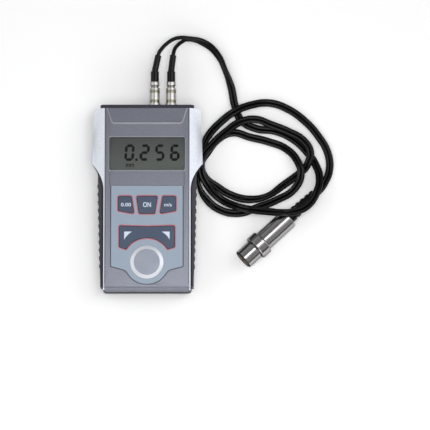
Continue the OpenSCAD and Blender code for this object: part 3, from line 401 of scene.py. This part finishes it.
# Contact springs, plates and all screws are bright zinc on steel; the switch domes are stamped steel.
# They are small, so a fine satin grain is all that shows of them.
ZINC_DARK = (0.46, 0.47, 0.49)
ZINC_LIGHT = (0.62, 0.63, 0.64)
zinc = grained("hardware", ZINC_DARK, ZINC_LIGHT, rough=(0.26, 0.40), grain=1500, bump=0.01 * MM, metallic=1.0,
               drift=300.0)
dress(zinc, "contact_springs", "contact_bridge", "contact_tabs", "switch_domes", "board_screws")

# The battery door: the same slate plastic as the back shell, with moulded thumb grooves.
# It slides out over the bottom end on two tongues.
moulding("battery_door", slate, "battery_door")

# The main board: green solder mask over glass fibre, held by four screws under the panel.
# Black chips sit on its hidden side.
MASK_DARK = (0.010, 0.075, 0.030)
MASK_LIGHT = (0.020, 0.120, 0.050)
RESIN_DARK = (0.012, 0.012, 0.013)
RESIN_LIGHT = (0.022, 0.022, 0.024)
board_mask = grained("board", MASK_DARK, MASK_LIGHT, rough=(0.30, 0.42), grain=900, bump=0.01 * MM)
chip_resin = grained("frame_plastic", RESIN_DARK, RESIN_LIGHT, rough=(0.45, 0.60), grain=2500, bump=0.02 * MM)
dress(board_mask, "main_board")
dress(chip_resin, "board_chips", "display_frame")

# The display: a backlight sheet, a liquid crystal glass with a grey-green field, and dark segments on it.
# The field is a little darker towards its upper edge, where the panel shades it.
FIELD_LOW = (0.090, 0.106, 0.096)
FIELD_HIGH = (0.046, 0.054, 0.050)
FIELD_ROUGH = (0.30, 0.38)
CLOUD_SCALE = 70
CLOUD_DEPTH = 0.06
SHEET_DARK = (0.55, 0.62, 0.52)
SHEET_LIGHT = (0.62, 0.68, 0.58)
glass_low, glass_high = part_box("display_glass")
field, tree, shader, position = new_material("display")
rise = span(tree, put(tree, "SeparateXYZ", {"Vector": position}).outputs["Y"], 0, 1, glass_low.y, glass_high.y)
cloud = noise(tree, position, CLOUD_SCALE)
shade = maths(tree, "ADD", rise, span(tree, cloud, -CLOUD_DEPTH, CLOUD_DEPTH))
tree.links.new(mix(tree, shade, FIELD_LOW, FIELD_HIGH), shader.inputs["Base Color"])
tree.links.new(span(tree, cloud, *FIELD_ROUGH), shader.inputs["Roughness"])
dress(field, "display_glass")
backlight = grained("backlight", SHEET_DARK, SHEET_LIGHT, rough=(0.5, 0.6), grain=800, bump=0.01 * MM)
dress(backlight, "display_backlight")

# The reading: seven-segment figures with a slight slant, printed as electrodes on the glass.
# A small unit stands under the first figure.
SEGMENT_BLACK = (0.006, 0.008, 0.009)
SEGMENT_GREY = grey(0.010)
READING = "0.256"
FIGURE_W = 6.2 * MM
FIGURE_H = 10.8 * MM
FIGURE_PITCH = 9.8 * MM
FIGURE_FIRST_X = -11.4 * MM
FIGURE_Y = 28.3 * MM
FIGURE_SLANT = math.tan(math.radians(4))
BAR_T = 1.75 * MM
BAR_GAP = 0.12 * MM
FILM_T = 0.02 * MM
POINT_SIZE = 1.5 * MM
POINT_SHIFT = 0.4 * MM
LETTER_BOLD = 0.015
LETTER_WELD = 1e-4
UNIT_SIZE = (5.2 * MM, 2.2 * MM)
UNIT_CENTRE = (-11.1 * MM, 20.0 * MM)
# Each bar's place across and up in its figure, and whether it stands upright
BARS = {"a": (0, 1, False), "b": (1, 0.5, True), "c": (1, -0.5, True), "d": (0, -1, False),
        "e": (-1, -0.5, True), "f": (-1, 0.5, True), "g": (0, 0, False)}
LIT = {"0": "abcdef", "2": "abged", "5": "afgcd", "6": "afgedc"}


def thicken(shape, faces, thickness):
    """Raises flat faces into a plate."""
    raised = bmesh.ops.extrude_face_region(shape, geom=faces)["geom"]
    bmesh.ops.translate(shape, verts=[v for v in raised if isinstance(v, bmesh.types.BMVert)],
                        vec=(0, 0, thickness))


def flat_plate(shape, outline, level, thickness):
    """A plate of an outline of (x, y) points, from a level upwards."""
    face = shape.faces.new([shape.verts.new((x, y, level)) for x, y in outline])
    face.normal_update()
    thicken(shape, [face], thickness)


def bar(shape, centre, length, upright, level):
    """One segment: a bar with pointed ends."""
    half, t = length / 2 - BAR_GAP, BAR_T / 2
    outline = [(-half, 0), (t - half, -t), (half - t, -t), (half, 0), (half - t, t), (t - half, t)]
    if upright:
        outline = [(-y, x) for x, y in outline]
    outline = [(centre[0] + x, centre[1] + y) for x, y in outline]
    flat_plate(shape, [(x + (y - FIGURE_Y) * FIGURE_SLANT, y) for x, y in outline], level, FILM_T)


def lettering(name, text, size, centre, level, thickness, material, body):
    """Raised print: text as a thin mesh, of a width and height, centred on a point."""
    curve = bpy.data.curves.new(name, "FONT")
    curve.body = text
    curve.extrude = 1
    curve.offset = LETTER_BOLD
    draft = bpy.data.objects.new(name + "_draft", curve)
    scene.collection.objects.link(draft)
    bpy.context.view_layer.update()
    mesh = bpy.data.meshes.new_from_object(draft.evaluated_get(bpy.context.evaluated_depsgraph_get()))
    bpy.data.objects.remove(draft)
    shape = bmesh.new()
    shape.from_mesh(mesh)
    bpy.data.meshes.remove(mesh)
    bmesh.ops.remove_doubles(shape, verts=shape.verts, dist=LETTER_WELD)
    low, high = (Vector([pick(v.co[axis] for v in shape.verts) for axis in range(3)]) for pick in (min, max))
    scale = [full / now for full, now in zip((*size, thickness), high - low)]
    bmesh.ops.translate(shape, verts=shape.verts, vec=-(low + high) / 2)
    bmesh.ops.scale(shape, verts=shape.verts, vec=scale)
    bmesh.ops.translate(shape, verts=shape.verts, vec=(*centre, level + thickness / 2))
    return place(name, shape, material, body)


figures = bmesh.new()
half_w, half_h = (FIGURE_W - BAR_T) / 2, (FIGURE_H - BAR_T) / 2
for index, sign in enumerate(READING.replace(".", "")):
    figure_x = FIGURE_FIRST_X + index * FIGURE_PITCH
    for across, up, upright in (BARS[name] for name in LIT[sign]):
        bar(figures, (figure_x + across * half_w, FIGURE_Y + up * half_h),
            half_h if upright else 2 * half_w, upright, glass_high.z)
point_x = FIGURE_FIRST_X + READING.index(".") * FIGURE_PITCH - FIGURE_PITCH / 2 - POINT_SHIFT
point_y = FIGURE_Y - FIGURE_H / 2
flat_plate(figures, [(point_x + dx * POINT_SIZE / 2, point_y + (1 + dy) * POINT_SIZE / 2)
                     for dx, dy in ((-1, -1), (1, -1), (1, 1), (-1, 1))], glass_high.z, FILM_T)
bmesh.ops.recalc_face_normals(figures, faces=figures.faces)
ink = grained("display_ink", SEGMENT_BLACK, SEGMENT_GREY, rough=(0.4, 0.5), grain=900, bump=0.005 * MM, gloss=0.0)
place("display_figures", figures, ink, "case")
lettering("display_unit", "mm", UNIT_SIZE, UNIT_CENTRE, glass_high.z, FILM_T, ink, "case")

# The window: a clear acrylic plate set a little under the panel face, held by its flange.
# Its polish is broken only by faint wipe marks.
WINDOW_TINT = (0.05, 0.055, 0.055, 1)
WINDOW_ALPHA = 0.06
WINDOW_ROUGH = (0.05, 0.12)
ACRYLIC_IOR = 1.49
WIPE_SCALE = 120
WIPE_DISTORTION = 1
window, tree, shader, position = new_material("window")
shader.inputs["Base Color"].default_value = WINDOW_TINT
shader.inputs["Alpha"].default_value = WINDOW_ALPHA
shader.inputs["IOR"].default_value = ACRYLIC_IOR
wipes = noise(tree, position, WIPE_SCALE, distortion=WIPE_DISTORTION)
tree.links.new(span(tree, wipes, *WINDOW_ROUGH), shader.inputs["Roughness"])
dress(window, "display_window")

# The front shell: moulded plastic sprayed with silver paint, in which fine metal flakes sparkle.
# The sloping sides are painted far lighter than the flat panel, a painted highlight for the light they catch; the
# upright wall of the waist stays slate.
PANEL_HALF = 27.4 * MM
PANEL_END_Y = -57 * MM
PAINT_EDGE = 0.15 * MM
PAINT_METALLIC = 0.5
PAINT_ROUGH = (0.30, 0.37)
PEEL_SCALE = 700
# The sides' lighter silver is a painted highlight
SIDE_SILVER_PAINTED_HIGHLIGHT = (0.755, 0.795, 0.865)
PANEL_SILVER = (0.170, 0.179, 0.219)
# Painted shade in the panel's grooves and recesses
GROOVE_PAINTED_SHADE = (0.08, 0.084, 0.10)
# Painted highlight on the window's lip and on the raised line
EDGE_PAINTED_HIGHLIGHT = (0.30, 0.31, 0.35)
FLAKE_SCALE = 2600
FLAKE_SHADE = 0.16
FLAKE_BUMP = 0.35
FLAKE_DEPTH = 0.02 * MM
LINE_SLOPE_W = 0.26 * MM
LINE_SLOPE_H = 0.17 * MM
LINE_BASE = 0.01 * MM
GROOVE_DEPTH = 0.06 * MM
LIP_CORE_LOW = Vector((-23.8 * MM, 17.2 * MM))
LIP_CORE_HIGH = Vector((23.8 * MM, 37.5 * MM))
LIP_OUTER_R = 1.2 * MM
LIP_TOLERANCE = 20 * WELD
LIP_Z = 21.7 * MM
LIP_SLOPE_H = 0.22 * MM
BARE_SLATE = (0.034, 0.037, 0.049)
BARE_ROUGH = 0.9
BARE_X = 28.05 * MM
BARE_Z = 17 * MM
WAIST_Y = 3.6 * MM
SHOULDER_Y = 21.6 * MM
SHOULDER_REACH = 8.05 * MM
silver, tree, shader, position = new_material("silver_paint", PAINT_METALLIC)
spot = put(tree, "SeparateXYZ", {"Vector": position}).outputs
across = maths(tree, "ABSOLUTE", spot["X"])
on_side = span(tree, across, 0, 1, PANEL_HALF - PAINT_EDGE, PANEL_HALF + PAINT_EDGE)
# sprayed carries the paint's own tones and the painted light laid on them
sprayed = mix(tree, on_side, PANEL_SILVER, SIDE_SILVER_PAINTED_HIGHLIGHT)

# Grooves of the panel get a painted shade, except the lip round the window, which gets the same painted highlight
# as the raised line
panel_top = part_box("keypad_overlay")[1].z
window_low, window_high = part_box("display_window")
low_spot = maths(tree, "LESS_THAN", spot["Z"], panel_top - GROOVE_DEPTH)
on_panel = maths(tree, "LESS_THAN", across, PANEL_HALF)
above_end = maths(tree, "GREATER_THAN", spot["Y"], PANEL_END_Y)
groove = maths(tree, "MULTIPLY", maths(tree, "MULTIPLY", low_spot, on_panel), above_end)
beside = maths(tree, "GREATER_THAN", across, window_high.x)
below = maths(tree, "LESS_THAN", spot["Y"], window_low.y)
clear = maths(tree, "MAXIMUM", beside, below)
sprayed = mix(tree, maths(tree, "MULTIPLY", groove, clear), sprayed, GROOVE_PAINTED_SHADE)
on_lip = maths(tree, "GREATER_THAN", groove, clear)
on_line = maths(tree, "GREATER_THAN", spot["Z"], panel_top + LINE_BASE)
sprayed = mix(tree, maths(tree, "MAXIMUM", on_lip, on_line), sprayed, EDGE_PAINTED_HIGHLIGHT)

# The paint stops along the waist and the shoulders, and on the wall of the bottom end
bend = span(tree, spot["Y"], 0, 1, WAIST_Y, SHOULDER_Y)
paint_end = maths(tree, "MULTIPLY_ADD", maths(tree, "MULTIPLY", bend, bend), SHOULDER_REACH, BARE_X)
bare_side = maths(tree, "GREATER_THAN", across, paint_end)
on_waist = maths(tree, "LESS_THAN", spot["Y"], WAIST_Y)
low_wall = maths(tree, "LESS_THAN", spot["Z"], BARE_Z)
bare = maths(tree, "MAXIMUM", bare_side, maths(tree, "MULTIPLY", on_waist, low_wall))
sprayed = mix(tree, bare, sprayed, BARE_SLATE)

flakes = put(tree, "TexVoronoi", {"Vector": position, "Scale": FLAKE_SCALE}).outputs["Color"]
flake = put(tree, "SeparateColor", {"Color": flakes}).outputs["Red"]
flake_grey = put(tree, "CombineColor", dict.fromkeys(("Red", "Green", "Blue"), flake)).outputs["Color"]
tree.links.new(mix(tree, FLAKE_SHADE, sprayed, flake_grey, "MULTIPLY"), shader.inputs["Base Color"])
painted = span(tree, noise(tree, position, PEEL_SCALE), *PAINT_ROUGH)
tree.links.new(span(tree, bare, painted, BARE_ROUGH, 0, 1), shader.inputs["Roughness"])
sheen = put(tree, "Bump", {"Height": flake, "Strength": FLAKE_BUMP, "Distance": FLAKE_DEPTH})
tree.links.new(sheen.outputs["Normal"], shader.inputs["Normal"])


def from_core(point):
    """How far a point lies from the core of the window's lip, round which its corners are drawn."""
    gaps = [max(low - value, value - high, 0) for low, value, high in zip(LIP_CORE_LOW, point, LIP_CORE_HIGH)]
    return math.hypot(*gaps)


shell = welded("front_shell")
line_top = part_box("front_shell")[1].z
line = [face for face in shell.faces if min(v.co.z for v in face.verts) > line_top - WELD]
line_rim = {v for face in line for v in face.verts}
bmesh.ops.inset_region(shell, faces=line, thickness=LINE_SLOPE_W, use_even_offset=True, use_boundary=True)
bmesh.ops.translate(shell, verts=list(line_rim), vec=(0, 0, -LINE_SLOPE_H))
lip_rim = [v for v in shell.verts if abs(v.co.z - LIP_Z) < WELD
           and abs(from_core(v.co.xy) - LIP_OUTER_R) < LIP_TOLERANCE]
bmesh.ops.translate(shell, verts=lip_rim, vec=(0, 0, LIP_SLOPE_H))
front_piece = place("front_shell_moulding", shell, silver, "case")
front_piece.modifiers.new("normals", "WEIGHTED_NORMAL").keep_sharp = True
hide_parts("front_shell")

# The keypad overlay: a blue-grey printed film in a shallow recess of the panel, cut out for the keys.
# A thin red line is printed round every key; a dark line along the sides and the foot of the film is a painted
# shadow of the film's edge.
OVERLAY_DARK = (0.266, 0.333, 0.422)
OVERLAY_LIGHT = (0.304, 0.373, 0.462)
OUTLINE_RED = (0.50, 0.15, 0.18)
OUTLINE_DARK_RED = (0.43, 0.12, 0.15)
OUTLINE_GAP = 0.26 * MM
OUTLINE_W = 0.62 * MM
BORDER_SHADOW_DARK = (0.020, 0.024, 0.032)
BORDER_SHADOW_LIGHT = (0.030, 0.034, 0.042)
BORDER_W = 0.4 * MM
PRINT_T = 0.03 * MM
PRINT_ROUGH = (0.4, 0.5)
PRINT_BUMP = 0.005 * MM
film = grained("overlay", OVERLAY_DARK, OVERLAY_LIGHT, rough=(0.40, 0.50), grain=2200, bump=0.01 * MM)
dress(film, "keypad_overlay")
red = grained("outline_print", OUTLINE_DARK_RED, OUTLINE_RED, rough=PRINT_ROUGH, grain=2000, bump=PRINT_BUMP)


def inset(shape, face, distance):
    """Insets a flat face, or grows it by a negative distance; returns the border between old and new edge."""
    return bmesh.ops.inset_region(shape, faces=[face], thickness=distance, use_boundary=True,
                                  use_even_offset=True)["faces"]


def top_of(node):
    """The top faces of a CAD node, and their height."""
    shape = welded(node)
    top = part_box(node)[1].z
    others = [face for face in shape.faces if min(v.co.z for v in face.verts) < top - WELD]
    bmesh.ops.delete(shape, geom=others, context="FACES")
    return shape, top


def printed(name, shape, line, material):
    """Raises the faces of a line into a thin print on the overlay, or into the painted shadow along its edge."""
    thicken(shape, line, PRINT_T)
    bmesh.ops.recalc_face_normals(shape, faces=shape.faces)
    return place(name, shape, material, "case")


def key_outline(node):
    """The red line on the overlay round a key, taken from the key's own top face."""
    shape, top = top_of(node)
    (face,) = shape.faces
    bmesh.ops.delete(shape, geom=inset(shape, face, -OUTLINE_GAP), context="FACES")
    line = inset(shape, face, -OUTLINE_W)
    bmesh.ops.delete(shape, geom=[face], context="FACES_ONLY")
    bmesh.ops.translate(shape, verts=shape.verts, vec=(0, 0, film_top - top))
    return printed(node + "_outline", shape, line, red)


def outer_edge(shape):
    """The points of the outermost boundary of flat faces, in order."""
    boundary = [edge for edge in shape.edges if edge.is_boundary]
    first = max(boundary, key=lambda edge: sum(v.co.x for v in edge.verts))
    here, edge, points = first.verts[0], None, []
    while edge != first:
        points.append(here.co.copy())
        edge = next(other for other in here.link_edges if other.is_boundary and other != (edge or first))
        here = edge.other_vert(here)
    return points


film_shape, film_top = top_of("keypad_overlay")
film_edge = outer_edge(film_shape)
film_shape.free()
border_shape = bmesh.new()
inside = border_shape.faces.new([border_shape.verts.new(point) for point in film_edge])
inside.normal_update()
border = inset(border_shape, inside, BORDER_W)
head_y = max(point.y for point in film_edge) - BORDER_W
head = [face for face in border if face.calc_center_median().y > head_y]
bmesh.ops.delete(border_shape, geom=[inside, *head], context="FACES")
# The dark line along the film's edge is a painted shadow
film_edge_painted_shadow = grained("film_edge_painted_shadow", BORDER_SHADOW_DARK, BORDER_SHADOW_LIGHT, rough=PRINT_ROUGH, grain=2000, bump=PRINT_BUMP)
printed("overlay_painted_shadow", border_shape, border_shape.faces[:], film_edge_painted_shadow)

# The keys: slate-blue rubber caps behind the film's cut-outs, three in a row and one arched key that rocks.
# Their marks are printed in white: figures, a word, a unit, and a curved wedge at each end of the arched key.
KEY_DARK = (0.030, 0.051, 0.102)
KEY_LIGHT = (0.042, 0.067, 0.124)
KEY_EDGE = 0.2 * MM
MARK_GREY = (0.62, 0.70, 0.80)
MARK_WHITE = (0.68, 0.76, 0.86)
MARK_Y = -6.0 * MM
KEY_MARKS = {"zero_key": ("0.00", (6.4 * MM, 2.3 * MM)), "on_key": ("ON", (5.2 * MM, 3.2 * MM)),
             "velocity_key": ("m/s", (4.8 * MM, 2.4 * MM))}
WEDGE_CORNER = Vector((14.6 * MM, -23.5 * MM))
WEDGE_INNER = Vector((9.5 * MM, -23.5 * MM))
WEDGE_OUTER = Vector((14.6 * MM, -28.7 * MM))
WEDGE_HOLLOW = 0.3
WEDGE_STEPS = 6
cap = grained("key_plastic", KEY_DARK, KEY_LIGHT, rough=(0.42, 0.52), grain=2400, bump=0.02 * MM)
white_print = grained("key_print", MARK_GREY, MARK_WHITE, rough=PRINT_ROUGH, grain=1500, bump=PRINT_BUMP)
for node, (mark, size) in KEY_MARKS.items():
    moulding(node, cap, node, KEY_EDGE)
    key_outline(node)
    low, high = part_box(node)
    lettering(node + "_mark", mark, size, ((low.x + high.x) / 2, MARK_Y), high.z, PRINT_T, white_print, node)
moulding("arrow_key", cap, "arrow_key", KEY_EDGE)
key_outline("arrow_key")
wedges = bmesh.new()
chord = (WEDGE_INNER + WEDGE_OUTER) / 2
waist = chord + WEDGE_HOLLOW * (WEDGE_CORNER - chord)
slope = [(1 - t) ** 2 * WEDGE_INNER + 2 * t * (1 - t) * waist + t * t * WEDGE_OUTER
         for t in (step / WEDGE_STEPS for step in range(WEDGE_STEPS + 1))]
for mirror_sign in (-1, 1):
    flat_plate(wedges, [(mirror_sign * point.x, point.y) for point in slope + [WEDGE_CORNER]],
               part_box("arrow_key")[1].z, PRINT_T)
bmesh.ops.recalc_face_normals(wedges, faces=wedges.faces)
place("arrow_key_wedges", wedges, white_print, "arrow_key")

# The calibration disc: a steel test block of known thickness, turned, faced and set in the panel.
# Its face keeps fine concentric tool marks; the broad bevel round it is painted much lighter, a painted highlight.
DISC_DARK = (0.208, 0.226, 0.275)
DISC_LIGHT = (0.238, 0.256, 0.310)
DISC_FLAT_R = 8.4 * MM
DISC_BEVEL = 0.8 * MM
DISC_CREASE = math.radians(10)
DISC_METALLIC = 0.4
DISC_TINT = (1, 1, 1, 1)
# Painted highlight on the disc's bevel
RIM_PAINTED_HIGHLIGHT = (0.74, 0.76, 0.82)
LATHE_STEPS = 96
EDGE_TINT = (0.16, 0.15, 0.14, 1)
RING_DETAIL = 3
RING_BUMP = 0.3
SMEAR_SCALE = 180

# Turned metal: fine rings that run round the axis of a turned piece, a little darker and lighter by turns
turned_tree, turned_in, turned_out = new_group("turned", "Along", "Scale")
ring_step = maths(turned_tree, "MULTIPLY", turned_in["Along"], turned_in["Scale"])
rings = put(turned_tree, "TexNoise", {"W": ring_step, "Scale": 1, "Detail": RING_DETAIL},
            noise_dimensions="1D").outputs["Fac"]
smear = noise(turned_tree, turned_in["Position"], SMEAR_SCALE)
close_group(turned_tree, turned_in, turned_out, rings, smear, rings)


def turned(name, dark, light, rough, bump, scale=2500, axis=None, centre=None, metallic=1.0, tint=EDGE_TINT,
           marked=None):
    """A turned metal, with rings along an axis or round an upright one through a centre. Its edge tint is dull,
    because tool marks seen at a low angle hide one behind another. marked is a colour and where it goes."""
    material, tree, shader, position = new_material(name, metallic)
    shader.inputs["Specular Tint"].default_value = tint
    if axis is None:
        offset = put(tree, "VectorMath", {0: position, 1: centre}, operation="SUBTRACT").outputs["Vector"]
        flat = put(tree, "VectorMath", {0: offset, 1: (1, 1, 0)}, operation="MULTIPLY").outputs["Vector"]
        along = put(tree, "VectorMath", {0: flat}, operation="LENGTH").outputs["Value"]
    else:
        along = put(tree, "VectorMath", {0: position, 1: axis}, operation="DOT_PRODUCT").outputs["Value"]
    group = put(tree, "Group", {"Along": along, "Position": position, "Scale": scale, "Dark": (*dark, 1),
                                "Light": (*light, 1), "Smooth": rough[0], "Rough": rough[1]},
                node_tree=turned_tree).outputs
    colour = group["Color"]
    if marked:
        mark_colour, where = marked
        colour = mix(tree, where(tree, along), colour, mark_colour)
    connect(tree, shader, colour, group, RING_BUMP, bump)
    return material


def on_rim(tree, radius):
    """1 on the disc's bevel, where the painted highlight goes."""
    return maths(tree, "GREATER_THAN", radius, DISC_FLAT_R)


def lathe(profile, centre):
    """A solid turned about an upright axis, from (radius, height) points that start and end on the axis."""
    shape = bmesh.new()
    verts = [shape.verts.new((centre.x + radius, centre.y, level)) for radius, level in profile]
    edges = [shape.edges.new(pair) for pair in zip(verts, verts[1:])]
    bmesh.ops.spin(shape, geom=verts + edges, cent=centre, axis=(0, 0, 1), angle=math.tau, steps=LATHE_STEPS,
                   use_merge=True)
    bmesh.ops.remove_doubles(shape, verts=shape.verts, dist=WELD)
    bmesh.ops.recalc_face_normals(shape, faces=shape.faces)
    return shape


disc_low, disc_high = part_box("calibration_disc")
disc_centre = (disc_low + disc_high) / 2
disc_r = (disc_high.x - disc_low.x) / 2
disc_profile = [(0, disc_low.z), (disc_r, disc_low.z), (disc_r, disc_high.z - DISC_BEVEL),
                (DISC_FLAT_R, disc_high.z), (0, disc_high.z)]
disc_steel = turned("disc_steel", DISC_DARK, DISC_LIGHT, rough=(0.36, 0.44), bump=0.001 * MM, scale=3500,
                    centre=disc_centre, metallic=DISC_METALLIC, tint=DISC_TINT, marked=(RIM_PAINTED_HIGHLIGHT, on_rim))
disc = place("calibration_disc_turned", lathe(disc_profile, disc_centre), disc_steel, "case")
disc.data.set_sharp_from_angle(angle=DISC_CREASE)
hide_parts("calibration_disc")

# The grips: soft slate rubber moulded along the waist, with ribs for the fingers.
# Rubber has no gloss and a fine dusty grain.
RUBBER_DARK = (0.048, 0.050, 0.064)
RUBBER_LIGHT = (0.068, 0.070, 0.086)
GRIP_EDGE = 0.2 * MM
rubber = grained("grip_rubber", RUBBER_DARK, RUBBER_LIGHT, rough=(0.62, 0.75), grain=2200, bump=0.05 * MM)
for node in ("grip_left", "grip_right"):
    moulding(node, rubber, "case", GRIP_EDGE)

# The top plate closes both shells at the socket end, in the same slate plastic.
# The case screws come in from the back.
PLATE_EDGE = 0.35 * MM
moulding("top_plate", slate, "case", PLATE_EDGE)
dress(zinc, "case_screws")

# Sockets and plugs: brass turned and nickel plated; the sockets are clamped from inside by brass nuts.
# Each plug has a core, a release sleeve with grooved bands and a collet nut. The bands are painted a darker
# yellowish grey, a painted shade for their grooves.
Y_AXIS = (0, 1, 0)
NICKEL_DARK = (0.50, 0.49, 0.47)
NICKEL_LIGHT = (0.62, 0.61, 0.59)
BRASS_DARK = (0.62, 0.44, 0.17)
BRASS_LIGHT = (0.74, 0.55, 0.24)
CORE_DARK = (0.20, 0.195, 0.18)
CORE_LIGHT = (0.28, 0.27, 0.25)
# Painted shade for the grooves of the sleeve's bands
BAND_GROOVE_SHADE = (0.30, 0.29, 0.22)
BAND_HALF = 1.0 * MM
BAND_MIDDLES = (1.4 * MM, 7.8 * MM)
PLUG_EDGE = 0.1 * MM
sleeve_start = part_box("release_sleeve_left")[0].y


def on_bands(tree, along):
    """1 on the grooved bands of a release sleeve, which get the painted shade."""
    bands = [maths(tree, "COMPARE", along, sleeve_start + middle, BAND_HALF) for middle in BAND_MIDDLES]
    return maths(tree, "ADD", *bands)


nickel = turned("nickel", NICKEL_DARK, NICKEL_LIGHT, rough=(0.24, 0.34), bump=0.001 * MM, axis=Y_AXIS,
                marked=(BAND_GROOVE_SHADE, on_bands))
brass = turned("brass", BRASS_DARK, BRASS_LIGHT, rough=(0.22, 0.34), bump=0.001 * MM, axis=Y_AXIS)
core_metal = turned("core_nickel", CORE_DARK, CORE_LIGHT, rough=(0.20, 0.30), bump=0.001 * MM, axis=Y_AXIS)
dress(brass, "socket_nuts", "crystals")
for side_name in ("left", "right"):
    dress(core_metal, "plug_core_" + side_name)
    moulding("socket_" + side_name, nickel, "case", PLUG_EDGE)
    moulding("release_sleeve_" + side_name, nickel, "sleeve_" + side_name)
    moulding("collet_nut_" + side_name, nickel, "case", PLUG_EDGE)

# Bend reliefs: black rubber boots, one slipped over each plug and a ribbed one on the probe.
# They are handled often, so they shine more than the grips.
BOOT_GLOSS = 0.22
BOOT_EDGE = 0.15 * MM
boot_rubber = grained("boot_rubber", CABLE_BLACK, CABLE_GREY, rough=(0.10, 0.15), grain=1600, bump=0.002 * MM,
                      gloss=BOOT_GLOSS)
left_boot, right_boot, probe_boot = (moulding(node, boot_rubber, "case", BOOT_EDGE)
                                     for node in ("plug_boot_left", "plug_boot_right", "probe_boot"))

# The probe: a stainless housing with a collar and a stainless nose, both turned and polished.
# The chamfer at the nose's end is painted near-black, a painted shade for its dark edge. Delay lines, cork,
# crystals and a damping block fill the nose.
PROBE_TURN = math.radians(43)
PROBE_TILT = math.radians(4.1)
PROBE_AXIS = Vector((math.cos(PROBE_TURN) * math.cos(PROBE_TILT), math.sin(PROBE_TURN) * math.cos(PROBE_TILT),
                     -math.sin(PROBE_TILT)))
PROBE_EDGE = 0.12 * MM
STEEL_DARK = (0.41, 0.40, 0.40)
STEEL_LIGHT = (0.48, 0.47, 0.47)
# Painted shade on the nose's chamfer
NOSE_PAINTED_SHADE = (0.040, 0.038, 0.038)
NOSE_CHAMFER = 0.6 * MM
WEAR_GLOSS = 0.02
DELAY_DARK = (0.060, 0.042, 0.026)
DELAY_LIGHT = (0.090, 0.064, 0.040)
CORK_DARK = (0.035, 0.020, 0.010)
CORK_LIGHT = (0.075, 0.045, 0.022)
DAMPING_DARK = (0.030, 0.030, 0.034)
DAMPING_LIGHT = (0.055, 0.055, 0.060)
nose_end = min(PROBE_AXIS.dot(v.co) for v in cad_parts["probe_nose"].data.vertices)


def on_chamfer(tree, along):
    """1 on the chamfer at the nose's end, where the painted shade goes."""
    return maths(tree, "LESS_THAN", along, nose_end + NOSE_CHAMFER)


stainless = turned("stainless", STEEL_DARK, STEEL_LIGHT, rough=(0.16, 0.21), bump=0.0005 * MM, scale=2200,
                   axis=PROBE_AXIS, marked=(NOSE_PAINTED_SHADE, on_chamfer))
probe_shells = [moulding(node, stainless, "case", PROBE_EDGE)
                for node in ("probe_housing", "probe_nose")]
delay_plastic = grained("delay_plastic", DELAY_DARK, DELAY_LIGHT, rough=(0.4, 0.5), grain=600, bump=0.005 * MM,
                        gloss=WEAR_GLOSS)
cork = grained("cork", CORK_DARK, CORK_LIGHT, rough=(0.7, 0.9), grain=3000, bump=0.08 * MM, gloss=WEAR_GLOSS)
damping = grained("damping", DAMPING_DARK, DAMPING_LIGHT, rough=(0.6, 0.8), grain=2500, bump=0.05 * MM)
dress(delay_plastic, "delay_lines")
dress(cork, "acoustic_barrier")
dress(damping, "damping_block")
